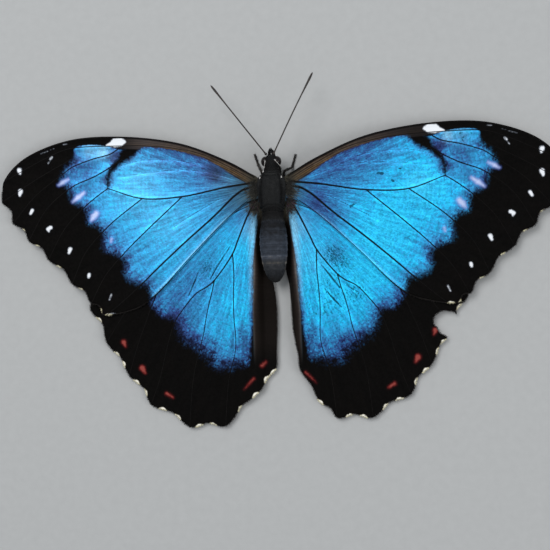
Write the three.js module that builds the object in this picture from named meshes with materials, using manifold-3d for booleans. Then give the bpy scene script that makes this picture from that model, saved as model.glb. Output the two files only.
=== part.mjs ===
// A blue morpho butterfly at life size, resting with its wings spread flat and low.
// Millimetres. The head points along +Y, the insect's right is +X, and its feet stand on z = 0.
// While the pieces are made, y = 0 runs through the wing hinges and x = 0 is the body's midline. At the
// end the group is moved so that the origin lies on the floor, under the middle of the whole insect.
// Paired pieces are all drawn on the right side, with x outward, and mirrored for the left.

import * as THREE from "three";
import { mergeVertices } from "three/addons/utils/BufferGeometryUtils.js";
import Module from "manifold-3d";

const wasm = await Module();
wasm.setup();

// Driving dimensions.
const GAP = 0.25; // clearance between neighbouring pieces
const WING_THICKNESS = 0.55;
const MARGIN_STEPS = 112; // straight steps around a wing's outline
const SCALLOP_DEPTH = 0.65; // how far the margin steps in between two vein ends
const HINGE_X = 3; // where the wing sheets leave the thorax
const HINGE_RISE = 4; // how much higher a wing is at its hinge than at its margin
const WING_FALL = 12; // distance in which that rise drops to about a third
const FOREWING_EDGE_Z = 1.95;
const HINDWING_EDGE_Z = 0.98;
const ANAL_FOLD_Z = 1.2; // the inner field of the hindwing is folded down beside the abdomen
const ANAL_FOLD_X = [3.2, 5.4]; // foot and crest of that fold
const THORAX = { front: 4.9, rear: -4.75, z: 5.2, halfWidth: 3, halfHeight: 2.95 };
const ABDOMEN = { front: -5.05, rear: -19.1, frontZ: 5.1, rearZ: 3.3, halfWidth: 3.1, halfHeight: 2.65 };
const ABDOMEN_RINGS = 8;
const HEAD = { y: 6.65, z: 5.05, halfWidth: 1.55, halfLength: 1.45, halfHeight: 1.6 };
const EYE = { x: 1.2, y: 6.6, z: 5.1, halfWidth: 1.02, halfLength: 1.15, halfHeight: 1.3 };
const ANTENNA_RADIUS = 0.25;
const CLUB_RADIUS = 0.36;
const TARSUS_AXIS_Z = 0.22; // less than the tarsus radius, so that its sole is a narrow flat on the floor

// Wing outlines, [outward, ahead]. The margin between two vein ends is scalloped.
const FOREWING_COSTA = [[2.4, 2.6], [5, 4.55], [10, 7.45], [20, 11.6], [34, 13.8], [46, 13.3], [56, 9.5],
  [60.3, 4.9]];
const FOREWING_VEIN_ENDS = [[61, 0.3], [58.6, -4.6], [55, -8.7], [50.6, -13], [45.3, -18.5], [41.3, -22.8]];
const FOREWING_INNER_MARGIN = [[26.5, -21.4], [18, -12.9], [8.5, -4.1], [4.6, -1.5], [2.4, -0.9]];
const HINDWING_COSTA = [[2.4, -1], [9, -1.8], [24, -6.5], [36, -14.5]];
const HINDWING_VEIN_ENDS = [[41.2, -23], [37.6, -30.8], [32.9, -38.1], [28.3, -44.4], [19.8, -49.4],
  [12, -49.3]];
const HINDWING_NOTCHES = [0.65, 0.35, 0.6, 0.6, 0.45, 0.3]; // how far each one steps in

// The two sides differ a little, as they do on a living insect: the left hindwing reaches further back
// and spreads its anal field flat, and the right one holds the field folded down and has a bite torn out.
const SIDES = {
  left: {
    mirror: -1,
    forewingTornus: [[38.7, -25.2], [31, -24.2]],
    hindwingReach: 1.019,
    hindwingSweep: -0.33,
    analMargin: [[3.9, -41.5], [0.7, -37.2]],
    innerMargin: [[0.3, -32], [0, -26], [0.5, -20], [2.6, -15], [3.5, -9], [3, -4]],
    antennaRoot: [0.8, 7.85, 6.35],
    antennaTip: [12.55, 23.4, 5.2],
    midKnee: [2.3, 4.6, 2.95],
    midAnkle: [3.35, 6.5, 0.85],
    midToe: [4.05, 8.7],
  },
  right: {
    mirror: 1,
    forewingTornus: [[39.1, -24.4], [31, -23.6]],
    hindwingReach: 0.991,
    hindwingSweep: 0.33,
    analMargin: [[8.2, -45.7], [4.3, -38.6]],
    innerMargin: [[3.9, -35], [3, -29], [2.9, -21], [3, -14], [3.3, -8], [3, -4]],
    antennaRoot: [0.6, 7.9, 6.35],
    antennaTip: [9.35, 25, 5.4],
    midKnee: [2.5, 4.7, 2.95],
    midAnkle: [3.95, 5.6, 0.85],
    midToe: [4.75, 8.3],
    bite: [[44, -26], [40.4, -26.2], [38.9, -27.6], [36.6, -26.4], [35, -26.3], [33.6, -27.4],
      [33.5, -28.9], [34.7, -30.7], [35.9, -31.2], [37.6, -34], [44, -34]],
  },
};

const UP = new THREE.Vector3(0, 0, 1);
const { smoothstep, lerp, clamp, degToRad } = THREE.MathUtils;

const finish = (color, roughness, metalness = 0) =>
  new THREE.MeshStandardMaterial({ color, roughness, metalness });
const MATERIALS = {
  forewing: () => finish("#3f9fe0", 0.42, 0.25),
  hindwing: () => finish("#1fa8ee", 0.42, 0.25),
  thorax: () => finish("#26262a", 0.9),
  abdomen: () => finish("#3a3d45", 0.75),
  head: () => finish("#1c1a1a", 0.85),
  eye: () => finish("#1a0f0a", 0.12),
  chitin: () => finish("#15110f", 0.45),
};

// A geometry as a manifold-3d solid, and back.
function solidOf(geometry) {
  const shell = geometry.clone();
  shell.deleteAttribute("normal");
  shell.deleteAttribute("uv");
  const merged = mergeVertices(shell, 1e-4);
  const vertProperties = merged.getAttribute("position").array;
  const triVerts = new Uint32Array(merged.index.array);
  return new wasm.Manifold(new wasm.Mesh({ numProp: 3, vertProperties, triVerts }));
}

function geometryOf(solid) {
  const { vertProperties, triVerts } = solid.getMesh();
  const geometry = new THREE.BufferGeometry();
  geometry.setAttribute("position", new THREE.BufferAttribute(vertProperties, 3));
  geometry.setIndex(new THREE.BufferAttribute(triVerts, 1));
  geometry.computeVertexNormals();
  return geometry;
}

// A closed round form along a path. Each profile point is [share of the path, radius]; a section is
// wide x radius across and tall x radius high, where up sets which way is high.
function loft(path, profile, { sides = 8, wide = 1, tall = 1, up = UP } = {}) {
  const half = profile.map(([along, radius]) => new THREE.Vector2(radius, along));
  const form = new THREE.LatheGeometry(half, sides);
  const points = form.getAttribute("position");
  for (let i = 0; i < points.count; i++) {
    const along = clamp(points.getY(i), 0, 1);
    const tangent = path.getTangent(along);
    const across = new THREE.Vector3().crossVectors(tangent, up).normalize();
    const high = new THREE.Vector3().crossVectors(across, tangent);
    const point = path.getPoint(along);
    point.addScaledVector(across, wide * points.getX(i));
    point.addScaledVector(high, tall * points.getZ(i));
    points.setXYZ(i, point.x, point.y, point.z);
  }
  return form;
}

function ellipsoid({ x = 0, y, z, halfWidth, halfLength, halfHeight }, grow = 0, across = 18, down = 12) {
  const form = new THREE.SphereGeometry(1, across, down);
  form.scale(halfWidth + grow, halfLength + grow, halfHeight + grow);
  return form.translate(x, y, z);
}

function curve(points, closed = false) {
  const knots = points.map(([x, y, z = 0]) => new THREE.Vector3(x, y, z));
  return new THREE.CatmullRomCurve3(knots, closed, "centripetal");
}

// Thorax: a narrow collar, the deep wing-bearing middle, and a short rear that meets the abdomen.
function thorax(grow = 0) {
  const outline = [[0, 0], [0.015, 0.36], [0.06, 0.56], [0.12, 0.64], [0.15, 0.66], [0.2, 0.79], [0.3, 0.92],
    [0.44, 1], [0.6, 0.99], [0.76, 0.87], [0.89, 0.67], [0.97, 0.4], [1, 0]];
  const path = new THREE.LineCurve3(
    new THREE.Vector3(0, THORAX.front + grow, THORAX.z - 0.1),
    new THREE.Vector3(0, THORAX.rear - grow, THORAX.z),
  );
  const profile = outline.map(([along, share]) => [along, share && share + grow / THORAX.halfWidth]);
  return loft(path, profile, { sides: 22, wide: THORAX.halfWidth, tall: THORAX.halfHeight });
}

// Abdomen: a tapering barrel of rings, each one slipping a little way under the ring ahead of it.
function abdomen(grow = 0) {
  const ringStep = 0.045; // how much a ring's front edge stands inside the one ahead, in half widths
  const profile = [[0, 0], [0.004, 0.5]];
  for (let ring = 0; ring < ABDOMEN_RINGS; ring++) {
    for (const [part, tuck] of [[0.06, ringStep], [0.5, 0], [0.94, 0]]) {
      const along = (ring + part) / ABDOMEN_RINGS;
      const barrel = Math.pow(Math.sin(Math.PI * Math.pow(lerp(0.075, 0.985, along), 0.86)), 0.52);
      profile.push([along, barrel - tuck]);
    }
  }
  profile.push([1, 0]);
  const path = curve([
    [0, ABDOMEN.front + grow, ABDOMEN.frontZ],
    [0, lerp(ABDOMEN.front, ABDOMEN.rear, 0.5), lerp(ABDOMEN.frontZ, ABDOMEN.rearZ, 0.4)],
    [0, ABDOMEN.rear - grow, ABDOMEN.rearZ],
  ]);
  const grown = profile.map(([along, share]) => [along, share && share + grow / ABDOMEN.halfWidth]);
  return loft(path, grown, { sides: 20, wide: ABDOMEN.halfWidth, tall: ABDOMEN.halfHeight });
}

// Wings: a thin sheet that falls away from the hinge, cut to its outline and clear of the body.
const rise = (x) => HINGE_RISE * Math.exp(-Math.max(x - HINGE_X, 0) / WING_FALL);
const forewingHeight = (x) => FOREWING_EDGE_Z + rise(x);

function hindwingHeight(x, y) {
  const spread = HINDWING_EDGE_Z + rise(x) * smoothstep(y, -56, -4);
  const folded = (1 - smoothstep(y, -10, -3)) * (1 - smoothstep(x, ...ANAL_FOLD_X));
  return lerp(spread, ANAL_FOLD_Z, folded);
}

function sheet(height, { outer, front, rear, columns, rows }) {
  const crowding = 1.5; // the columns stand closer near the body, where the sheet bends most
  const form = new THREE.BoxGeometry(1, 1, 1, columns, rows, 1);
  const points = form.getAttribute("position");
  for (let i = 0; i < points.count; i++) {
    const x = outer * Math.pow(points.getX(i) + 0.5, crowding);
    const y = lerp(rear, front, points.getY(i) + 0.5);
    points.setXYZ(i, x, y, height(x, y) + WING_THICKNESS * points.getZ(i));
  }
  return form;
}

// Vein ends with a notch halfway between each two of them, on the wing's side of the line.
function scalloped(ends, depths = []) {
  return ends.flatMap(([x, y], i) => {
    if (i === ends.length - 1) return [[x, y]];
    const depth = depths[i] ?? SCALLOP_DEPTH;
    const [nextX, nextY] = ends[i + 1];
    const length = Math.hypot(nextX - x, nextY - y);
    const inward = [(nextY - y) / length, (x - nextX) / length];
    return [[x, y], [(x + nextX) / 2 + depth * inward[0], (y + nextY) / 2 + depth * inward[1]]];
  });
}

function prism(corners) {
  const shape = new THREE.Shape(corners.map(({ x, y }) => new THREE.Vector2(x, y)));
  const tall = 12; // higher than any wing stands
  return new THREE.ExtrudeGeometry(shape, { depth: tall, bevelEnabled: false, steps: 1 }).translate(0, 0, -1);
}

const smooth = (outline) => curve(outline, true).getPoints(MARGIN_STEPS);

const bodyClearance = solidOf(thorax(GAP)).add(solidOf(abdomen(GAP)));

function forewing(side) {
  const margin = scalloped([...FOREWING_VEIN_ENDS, side.forewingTornus[0]]);
  const outline = [...FOREWING_COSTA, ...margin, side.forewingTornus[1], ...FOREWING_INNER_MARGIN];
  const blank = sheet(forewingHeight, { outer: 62, front: 16, rear: -27, columns: 12, rows: 1 });
  const plate = solidOf(blank).intersect(solidOf(prism(smooth(outline))));
  return geometryOf(plate.add(solidOf(costalRod())).subtract(bodyClearance));
}

// The thick, stiff vein along the forewing's leading edge.
function costalRod() {
  const steps = 12;
  const inset = 0.3;
  const profile = [[0, 0]];
  for (let step = 0; step <= steps; step++) {
    profile.push([lerp(0.01, 0.99, step / steps), lerp(0.42, 0.28, step / steps)]);
  }
  profile.push([1, 0]);
  const path = curve(FOREWING_COSTA.slice(1, -1).map(([x, y]) => [x, y - inset, forewingHeight(x)]));
  return loft(path, profile, { sides: 6 });
}

function hindwing(side) {
  const turn = degToRad(side.hindwingSweep);
  const placed = ([x, y]) => [
    side.hindwingReach * (x * Math.cos(turn) - y * Math.sin(turn)),
    side.hindwingReach * (x * Math.sin(turn) + y * Math.cos(turn)),
  ];
  const margin = scalloped([...HINDWING_VEIN_ENDS, side.analMargin[0]], HINDWING_NOTCHES);
  const analLobe = scalloped(side.analMargin, [0.35]).slice(1);
  const outline = [...HINDWING_COSTA, ...margin, ...analLobe, ...side.innerMargin].map(placed);
  const blank = sheet(hindwingHeight, { outer: 43, front: 1, rear: -51, columns: 12, rows: 8 });
  const plate = solidOf(blank).intersect(solidOf(prism(smooth(outline)))).subtract(bodyClearance);
  if (!side.bite) return geometryOf(plate);
  const bite = side.bite.map(([x, y]) => ({ x, y }));
  return geometryOf(plate.subtract(solidOf(prism(bite))));
}

// Head, with a hollow each side that the eye sits in.
function head() {
  const sockets = [1, -1].map((side) => solidOf(ellipsoid({ ...EYE, x: side * EYE.x }, GAP * 0.7)));
  return geometryOf(solidOf(ellipsoid(HEAD)).subtract(sockets[0]).subtract(sockets[1]));
}

function antenna(side) {
  const arch = 0.5;
  const middle = side.antennaRoot.map((value, i) => (value + side.antennaTip[i]) / 2);
  const path = curve([side.antennaRoot, [middle[0], middle[1], middle[2] + arch], side.antennaTip]);
  const profile = [[0, 0], [0.008, 0.34], [0.025, 0.34], [0.035, ANTENNA_RADIUS]];
  for (let along = 0.15; along < 0.76; along += 0.1) profile.push([along, ANTENNA_RADIUS]);
  profile.push([0.83, 0.3], [0.9, CLUB_RADIUS], [0.96, CLUB_RADIUS], [0.99, 0.22], [1, 0]);
  return loft(path, profile, { sides: 7 });
}

function palp() {
  const path = curve([[0.6, 7.95, 4.05], [0.55, 8.6, 4.65], [0.37, 9.3, 5.55]]);
  const profile = [[0, 0], [0.03, 0.26], [0.2, 0.4], [0.5, 0.4], [0.75, 0.3], [0.93, 0.2], [1, 0]];
  return loft(path, profile, { sides: 8 });
}

// Proboscis, rolled up under the palps like a watch spring.
function proboscis() {
  return new THREE.TorusGeometry(0.42, 0.27, 7, 14).rotateY(Math.PI / 2).translate(0, 7.95, 3.1);
}

// One length of a leg between two joints, with rounded ends that keep the clearance.
function limb(from, to, [root, middle, tip], sides = 7) {
  const start = new THREE.Vector3(...from);
  const end = new THREE.Vector3(...to);
  const pull = new THREE.Vector3().subVectors(end, start).setLength(GAP / 2);
  const path = new THREE.LineCurve3(start.add(pull), end.sub(pull));
  const rootEnd = [[0, 0], [0.02, 0.6 * root], [0.09, root]];
  const tipEnd = [[0.92, tip], [0.98, 0.6 * tip], [1, 0]];
  return loft(path, [...rootEnd, [0.5, middle], ...tipEnd], { sides });
}

// A foot of five joints that lies along the floor and ends in a pair of claws.
function tarsus(from, to) {
  const joints = 5;
  const profile = [[0, 0], [0.015, 0.22]];
  for (let joint = 0; joint < joints; joint++) {
    profile.push([(joint + 0.25) / joints, 0.27], [(joint + 0.85) / joints, 0.31]);
  }
  profile.push([0.985, 0.22], [1, 0]);
  const start = new THREE.Vector3(...from);
  const end = new THREE.Vector3(to[0], to[1], TARSUS_AXIS_Z);
  const path = new THREE.QuadraticBezierCurve3(start, start.clone().lerp(end, 0.22).setZ(TARSUS_AXIS_Z), end);
  let foot = solidOf(loft(path, profile, { sides: 8 }));
  const heading = new THREE.Vector3().subVectors(end, start).setZ(0).normalize();
  for (const spread of [-1, 1]) {
    const across = new THREE.Vector3(-heading.y, heading.x, 0).multiplyScalar(0.42 * spread);
    const clawRoot = end.clone().addScaledVector(heading, -0.35);
    const clawTip = end.clone().addScaledVector(heading, 0.5).add(across);
    foot = foot.add(solidOf(limb(clawRoot.toArray(), clawTip.toArray(), [0.25, 0.25, 0.25], 6)));
  }
  const floor = new THREE.BoxGeometry(200, 200, 2).translate(0, 0, -1);
  return geometryOf(foot.subtract(solidOf(floor)));
}

function legs(side) {
  const hindToe = [9.8, -18.3];
  return {
    foreleg: loft(
      curve([[1.05, 3.3, 2.35], [1.55, 4.9, 2.5], [1.35, 6.2, 3.05]]),
      [[0, 0], [0.04, 0.3], [0.3, 0.36], [0.6, 0.3], [0.95, 0.25], [1, 0]],
      { sides: 7 },
    ),
    midleg_femur: limb([1.75, 1, 2.05], side.midKnee, [0.36, 0.4, 0.3]),
    midleg_tibia: limb(side.midKnee, side.midAnkle, [0.29, 0.28, 0.27]),
    midleg_tarsus: tarsus(side.midAnkle, side.midToe),
    hindleg_femur: limb([1.7, -2.1, 1.95], [6.1, -4.4, 2.6], [0.36, 0.4, 0.3]),
    hindleg_tibia: limb([6.1, -4.4, 2.6], [8.7, -11.6, 0.85], [0.29, 0.28, 0.27]),
    hindleg_tarsus: tarsus([8.7, -11.6, 0.85], hindToe),
  };
}

const morpho = new THREE.Group();

function add(name, geometry, material, mirror = 1) {
  const mesh = new THREE.Mesh(geometry, material);
  mesh.name = name;
  mesh.scale.x = mirror;
  morpho.add(mesh);
}

add("thorax", thorax(), MATERIALS.thorax());
add("abdomen", abdomen(), MATERIALS.abdomen());
add("head", head(), MATERIALS.head());
add("proboscis", proboscis(), MATERIALS.chitin());
for (const [name, side] of Object.entries(SIDES)) {
  add(`forewing_${name}`, forewing(side), MATERIALS.forewing(), side.mirror);
  add(`hindwing_${name}`, hindwing(side), MATERIALS.hindwing(), side.mirror);
  add(`eye_${name}`, ellipsoid(EYE, 0, 16, 10), MATERIALS.eye(), side.mirror);
  add(`antenna_${name}`, antenna(side), MATERIALS.chitin(), side.mirror);
  add(`palp_${name}`, palp(), MATERIALS.head(), side.mirror);
  for (const [piece, geometry] of Object.entries(legs(side))) {
    add(`${piece}_${name}`, geometry, MATERIALS.chitin(), side.mirror);
  }
}

const bounds = new THREE.Box3().setFromObject(morpho, true);
const middle = bounds.getCenter(new THREE.Vector3());
morpho.position.set(-middle.x, -middle.y, -bounds.min.z);

export default morpho;
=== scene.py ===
"""A blue morpho butterfly at life size, resting with its wings spread low, dressed over its solids.

Sizes are written in millimetres in the insect's own frame: x outward to its right, y ahead from the line
through the wing hinges, z up from the floor. metres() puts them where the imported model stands.
Paired pieces are drawn on the right side and mirrored for the left.
"""
import math

import bpy
import numpy as np
from mathutils import Matrix, Vector
from mathutils.geometry import delaunay_2d_cdt


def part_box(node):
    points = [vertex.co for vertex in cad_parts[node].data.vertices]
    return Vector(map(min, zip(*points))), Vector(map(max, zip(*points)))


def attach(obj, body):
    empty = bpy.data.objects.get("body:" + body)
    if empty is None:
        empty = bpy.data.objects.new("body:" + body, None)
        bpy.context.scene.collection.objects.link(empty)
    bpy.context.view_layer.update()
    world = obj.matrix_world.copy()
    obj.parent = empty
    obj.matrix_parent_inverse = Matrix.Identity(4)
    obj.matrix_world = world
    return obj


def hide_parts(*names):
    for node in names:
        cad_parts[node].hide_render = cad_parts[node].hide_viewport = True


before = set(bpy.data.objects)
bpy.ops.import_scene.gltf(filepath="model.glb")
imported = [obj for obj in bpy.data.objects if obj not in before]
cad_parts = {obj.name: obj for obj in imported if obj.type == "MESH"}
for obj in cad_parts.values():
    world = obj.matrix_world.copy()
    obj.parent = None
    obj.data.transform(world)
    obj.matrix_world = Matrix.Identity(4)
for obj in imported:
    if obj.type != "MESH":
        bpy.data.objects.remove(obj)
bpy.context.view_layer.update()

MM = .001
THORAX_FRONT = 4.9  # how far the thorax reaches ahead of the hinge line
HINGE_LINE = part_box("thorax")[1].y - THORAX_FRONT * MM
SIDES = {"left": -1, "right": 1}
FAR = 99.0  # millimetres, past everything on the insect


# ---------------------------------------------------------------- shapes in plain numbers

def metres(points):
    """Points of the insect's frame in millimetres, in the row frame in metres."""
    return np.asarray(points, float) * MM + (0, HINGE_LINE, 0)


def smooth(low, high, value):
    """0 below low and 1 above high, with an easy way between them."""
    share = np.clip((np.asarray(value, float) - low) / (high - low), 0, 1)
    return share * share * (3 - 2 * share)


def spline(knots, closed=False, step=.4):
    """A centripetal Catmull-Rom curve through the knots, as points about a step apart."""
    knots = np.asarray(knots, float)
    if closed:
        rail = np.vstack([knots[-1], knots, knots[:2]])
    else:
        rail = np.vstack([2 * knots[0] - knots[1], knots, 2 * knots[-1] - knots[-2]])
    rounded = []
    for p0, p1, p2, p3 in zip(rail, rail[1:], rail[2:], rail[3:]):
        gaps = [max(np.linalg.norm(b - a), 1e-6) ** .5 for a, b in ((p0, p1), (p1, p2), (p2, p3))]
        t0, t1, t2, t3 = np.cumsum([0, *gaps])
        count = max(2, math.ceil(np.linalg.norm(p2 - p1) / (step / 4)))
        t = np.linspace(t1, t2, count, endpoint=False)[:, None]
        a1 = (t1 - t) / (t1 - t0) * p0 + (t - t0) / (t1 - t0) * p1
        a2 = (t2 - t) / (t2 - t1) * p1 + (t - t1) / (t2 - t1) * p2
        a3 = (t3 - t) / (t3 - t2) * p2 + (t - t2) / (t3 - t2) * p3
        b1 = (t2 - t) / (t2 - t0) * a1 + (t - t0) / (t2 - t0) * a2
        b2 = (t3 - t) / (t3 - t1) * a2 + (t - t1) / (t3 - t1) * a3
        rounded.append((t2 - t) / (t2 - t1) * b1 + (t - t1) / (t2 - t1) * b2)
    fine = np.vstack([*rounded, knots[:1] if closed else knots[-1:]])
    run = np.concatenate([[0], np.cumsum(np.linalg.norm(np.diff(fine, axis=0), axis=1))])
    marks = np.linspace(0, run[-1], max(3, round(run[-1] / step) + 1))
    even = np.stack([np.interp(marks, run, axis) for axis in fine.T], 1)
    return even[:-1] if closed else even


def to_line(points, start, end):
    """How far points are from a straight line between two others, and their share of the way along it."""
    way = end - start
    share = np.clip((points - start) @ way / max(way @ way, 1e-12), 0, 1)
    return np.linalg.norm(points - start - share[:, None] * way, axis=1), share


def inside_by(points, outline):
    """How far inside a closed outline points lie, negative outside."""
    nearest = np.full(len(points), np.inf)
    inside = np.zeros(len(points), bool)
    for start, end in zip(outline, np.roll(outline, -1, axis=0)):
        nearest = np.minimum(nearest, to_line(points, start, end)[0])
        crosses = (start[1] > points[:, 1]) != (end[1] > points[:, 1])
        rise = end[1] - start[1] if end[1] != start[1] else 1e-12
        inside ^= crosses & (points[:, 0] < start[0] + (points[:, 1] - start[1]) / rise * (end[0] - start[0]))
    return np.where(inside, nearest, -nearest)


def off_stroke(points, stations):
    """How far points are outside a tapering stroke, negative inside. A station is (x, y, half width)."""
    stations = np.asarray(stations, float)
    nearest = np.full(len(points), FAR)
    for start, end in zip(stations, stations[1:]):
        away, share = to_line(points, start[:2], end[:2])
        nearest = np.minimum(nearest, away - start[2] - share * (end[2] - start[2]))
    return nearest


def off_strokes(points, strokes):
    """How far points are outside the nearest of some strokes, and far off where there are none."""
    far = np.full(len(points), FAR)
    return np.min([far, *(off_stroke(points, stroke) for stroke in strokes)], axis=0)


def off_line(points, line):
    """How far points are from a line of many points."""
    return np.min([to_line(points, start, end)[0] for start, end in zip(line, line[1:])], axis=0)


def soft_patches(points, patches):
    """The sum of round soft patches. A patch is (x, y, reach, amount)."""
    total = np.zeros(len(points))
    for x, y, reach, amount in patches:
        total += amount * np.exp(-((points[:, 0] - x) ** 2 + (points[:, 1] - y) ** 2) / reach ** 2)
    return total


# ---------------------------------------------------------------- making meshes

def new_object(name, points, faces, fields=None, mirror=1):
    """A mesh object from points in millimetres. fields are numbers or vectors kept at its points."""
    points = np.asarray(points, float) * (mirror, 1, 1)
    if mirror < 0:
        faces = [tuple(reversed(face)) for face in faces]
    mesh = bpy.data.meshes.new(name)
    mesh.from_pydata(metres(points).tolist(), [], faces)
    for field, values in (fields or {}).items():
        values = np.asarray(values, np.float32)
        kind, slot = ("FLOAT", "value") if values.ndim == 1 else ("FLOAT_VECTOR", "vector")
        mesh.attributes.new(field, kind, "POINT").data.foreach_set(slot, values.ravel())
    mesh.polygons.foreach_set("use_smooth", [True] * len(mesh.polygons))
    return shown(name, mesh)


def shown(name, mesh):
    """A new object for a mesh, linked into the scene."""
    made = bpy.data.objects.new(name, mesh)
    bpy.context.scene.collection.objects.link(made)
    return made


def finish_piece(piece, slot, *nodes):
    """The piece rides on the insect's one body and stands for CAD nodes, whose solids it hides. Its slot is
    not used.
    """
    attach(piece, "root")
    if nodes:
        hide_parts(*nodes)
    return piece


# ---------------------------------------------------------------- wing plans

FRINGE = .34  # how far the fringe of scales stands past the membrane
NOTCH = .34  # how much deeper the margin's notches are than the solids draw them
WING_GRAIN = .3  # spacing of the membrane's points
MEMBRANE = .16  # thickness of membrane and scales together, drawn thicker than life
HINGE_X = 3  # how far out the wings are hinged
HINGE_RISE = 4  # how much higher they stand there than far out
WING_FALL = 12  # the stretch over which most of that is lost
FOREWING_EDGE_Z = 1.95
HINDWING_EDGE_Z = .98
ANAL_FOLD_Z = 1.2  # where the hindwing lies low beside the body
ANAL_FOLD_FOOT = 2.6
ANAL_FOLD_CREST = 4.1
OVERLAP_GAP = .3  # how far each wing makes way for the other under the forewing's inner margin
SCALLOP_DEPTH = .65

FOREWING_COSTA = [[2.4, 2.6], [5, 4.55], [10, 7.45], [20, 11.6], [34, 13.8], [46, 13.3], [56, 9.5],
                  [60.3, 4.9]]
FOREWING_VEIN_ENDS = [[61, .3], [58.6, -4.6], [55, -8.7], [50.6, -13], [45.3, -18.5], [41.3, -22.8]]
FOREWING_INNER_MARGIN = [[26.5, -21.4], [18, -12.9], [8.5, -4.1], [4.6, -1.5], [2.4, -.9]]
FOREWING_TORNUS = {"left": [[38.7, -25.2], [31, -24.2]], "right": [[39.1, -24.4], [31, -23.6]]}
HINDWING_COSTA = [[2.4, -1], [9, -1.8], [24, -6.5], [36, -14.5]]
HINDWING_VEIN_ENDS = [[41.2, -23], [37.6, -30.8], [32.9, -38.1], [28.3, -44.4], [19.8, -49.4], [12, -49.3]]
HINDWING_NOTCHES = [.65, .35, .6, .6, .45, .3]
ANAL_MARGIN = {"left": [[3.9, -41.5], [.7, -37.2]], "right": [[8.2, -45.7], [4.3, -38.6]]}
INNER_MARGIN = {
    "left": [[.3, -32], [0, -26], [.5, -20], [1.7, -15], [1.9, -9], [2, -4.6], [2.7, -3]],
    "right": [[3.9, -35], [3, -29], [2.7, -21], [1.9, -15.5], [1.9, -9], [2, -4.6], [2.7, -3]],
}
HINDWING_REACH = {"left": 1.019, "right": .991}
HINDWING_SWEEP = {"left": -.33, "right": .33}  # degrees
BITE = [[44, -26], [40.4, -26.2], [38.9, -27.6], [37.6, -26.7], [36.6, -26.4], [35, -26.3], [34.1, -27],
        [33.6, -27.4], [33.5, -28.9], [34.2, -29.6], [34.7, -30.7], [35.9, -31.2], [37.6, -34], [44, -34]]


def wing_rise(x):
    """How much higher a wing stands towards its hinge than far out."""
    return HINGE_RISE * np.exp(-np.maximum(x - HINGE_X, 0) / WING_FALL)


def near_overlap(x, y):
    """1 where the forewing's inner margin lies on the hindwing, falling to 0 some millimetres away."""
    return np.exp(-((.67 * (x - 8.5) + .74 * (y + 4.1)) / 3.5) ** 2) * smooth(3, 8, x)


def forewing_height(x, y):
    return FOREWING_EDGE_Z + wing_rise(x) - OVERLAP_GAP * near_overlap(x, y)


def hindwing_height(x, y):
    spread = HINDWING_EDGE_Z + wing_rise(x) * smooth(-56, -4, y) + OVERLAP_GAP * near_overlap(x, y)
    folded = (1 - smooth(-10, -3, y)) * (1 - smooth(ANAL_FOLD_FOOT, ANAL_FOLD_CREST, x))
    return spread + (ANAL_FOLD_Z - spread) * folded


def scalloped(ends, depths=None):
    """Vein ends with a notch halfway between each two of them, stepping in by its depth."""
    line = [ends[0]]
    for i, (start, end) in enumerate(zip(np.array(ends[:-1], float), np.array(ends[1:], float))):
        way = (end - start) / np.linalg.norm(end - start)
        depth = depths[i] if depths else SCALLOP_DEPTH
        line += [(start + end) / 2 + depth * np.array([way[1], -way[0]]), end]
    return [list(point) for point in line]


def as_drawn(points):
    """Plan points of the forewing, which both sides hold alike."""
    return np.array(points, float)


def placed(side):
    """Turns plan points of the hindwing to where one side holds them; half widths stay as they are."""
    turn, reach = math.radians(HINDWING_SWEEP[side]), HINDWING_REACH[side]

    def place(points):
        points = np.array(points, float)
        x, y = points[:, 0].copy(), points[:, 1].copy()
        points[:, 0] = reach * (x * math.cos(turn) - y * math.sin(turn))
        points[:, 1] = reach * (x * math.sin(turn) + y * math.cos(turn))
        return points
    return place


def forewing_outline(side):
    tornus = FOREWING_TORNUS[side]
    margin = scalloped([*FOREWING_VEIN_ENDS, tornus[0]])
    return spline([*FOREWING_COSTA, *margin, tornus[1], *FOREWING_INNER_MARGIN], closed=True)


def hindwing_outline(side):
    anal = ANAL_MARGIN[side]
    margin = scalloped([*HINDWING_VEIN_ENDS, anal[0]], HINDWING_NOTCHES)
    knots = [*HINDWING_COSTA, *margin, *scalloped(anal, [.35])[1:], *INNER_MARGIN[side]]
    outline = spline(placed(side)(knots), closed=True)
    if side == "right":
        outline = bitten(outline)
    return outline


def bitten(outline):
    """The outline with the torn place cut out of it, its edge a little ragged."""
    tear = spline(BITE[1:-1], step=.35)
    rng = np.random.default_rng(5)
    tear += rng.normal(0, .07, tear.shape)
    torn = inside_by(outline, np.array(BITE, float)) > 0
    tear = tear[inside_by(tear, outline) > .05]
    first = int(np.argmax(torn))
    return np.vstack([outline[:first], tear, outline[first:][~torn[first:]]])


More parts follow.
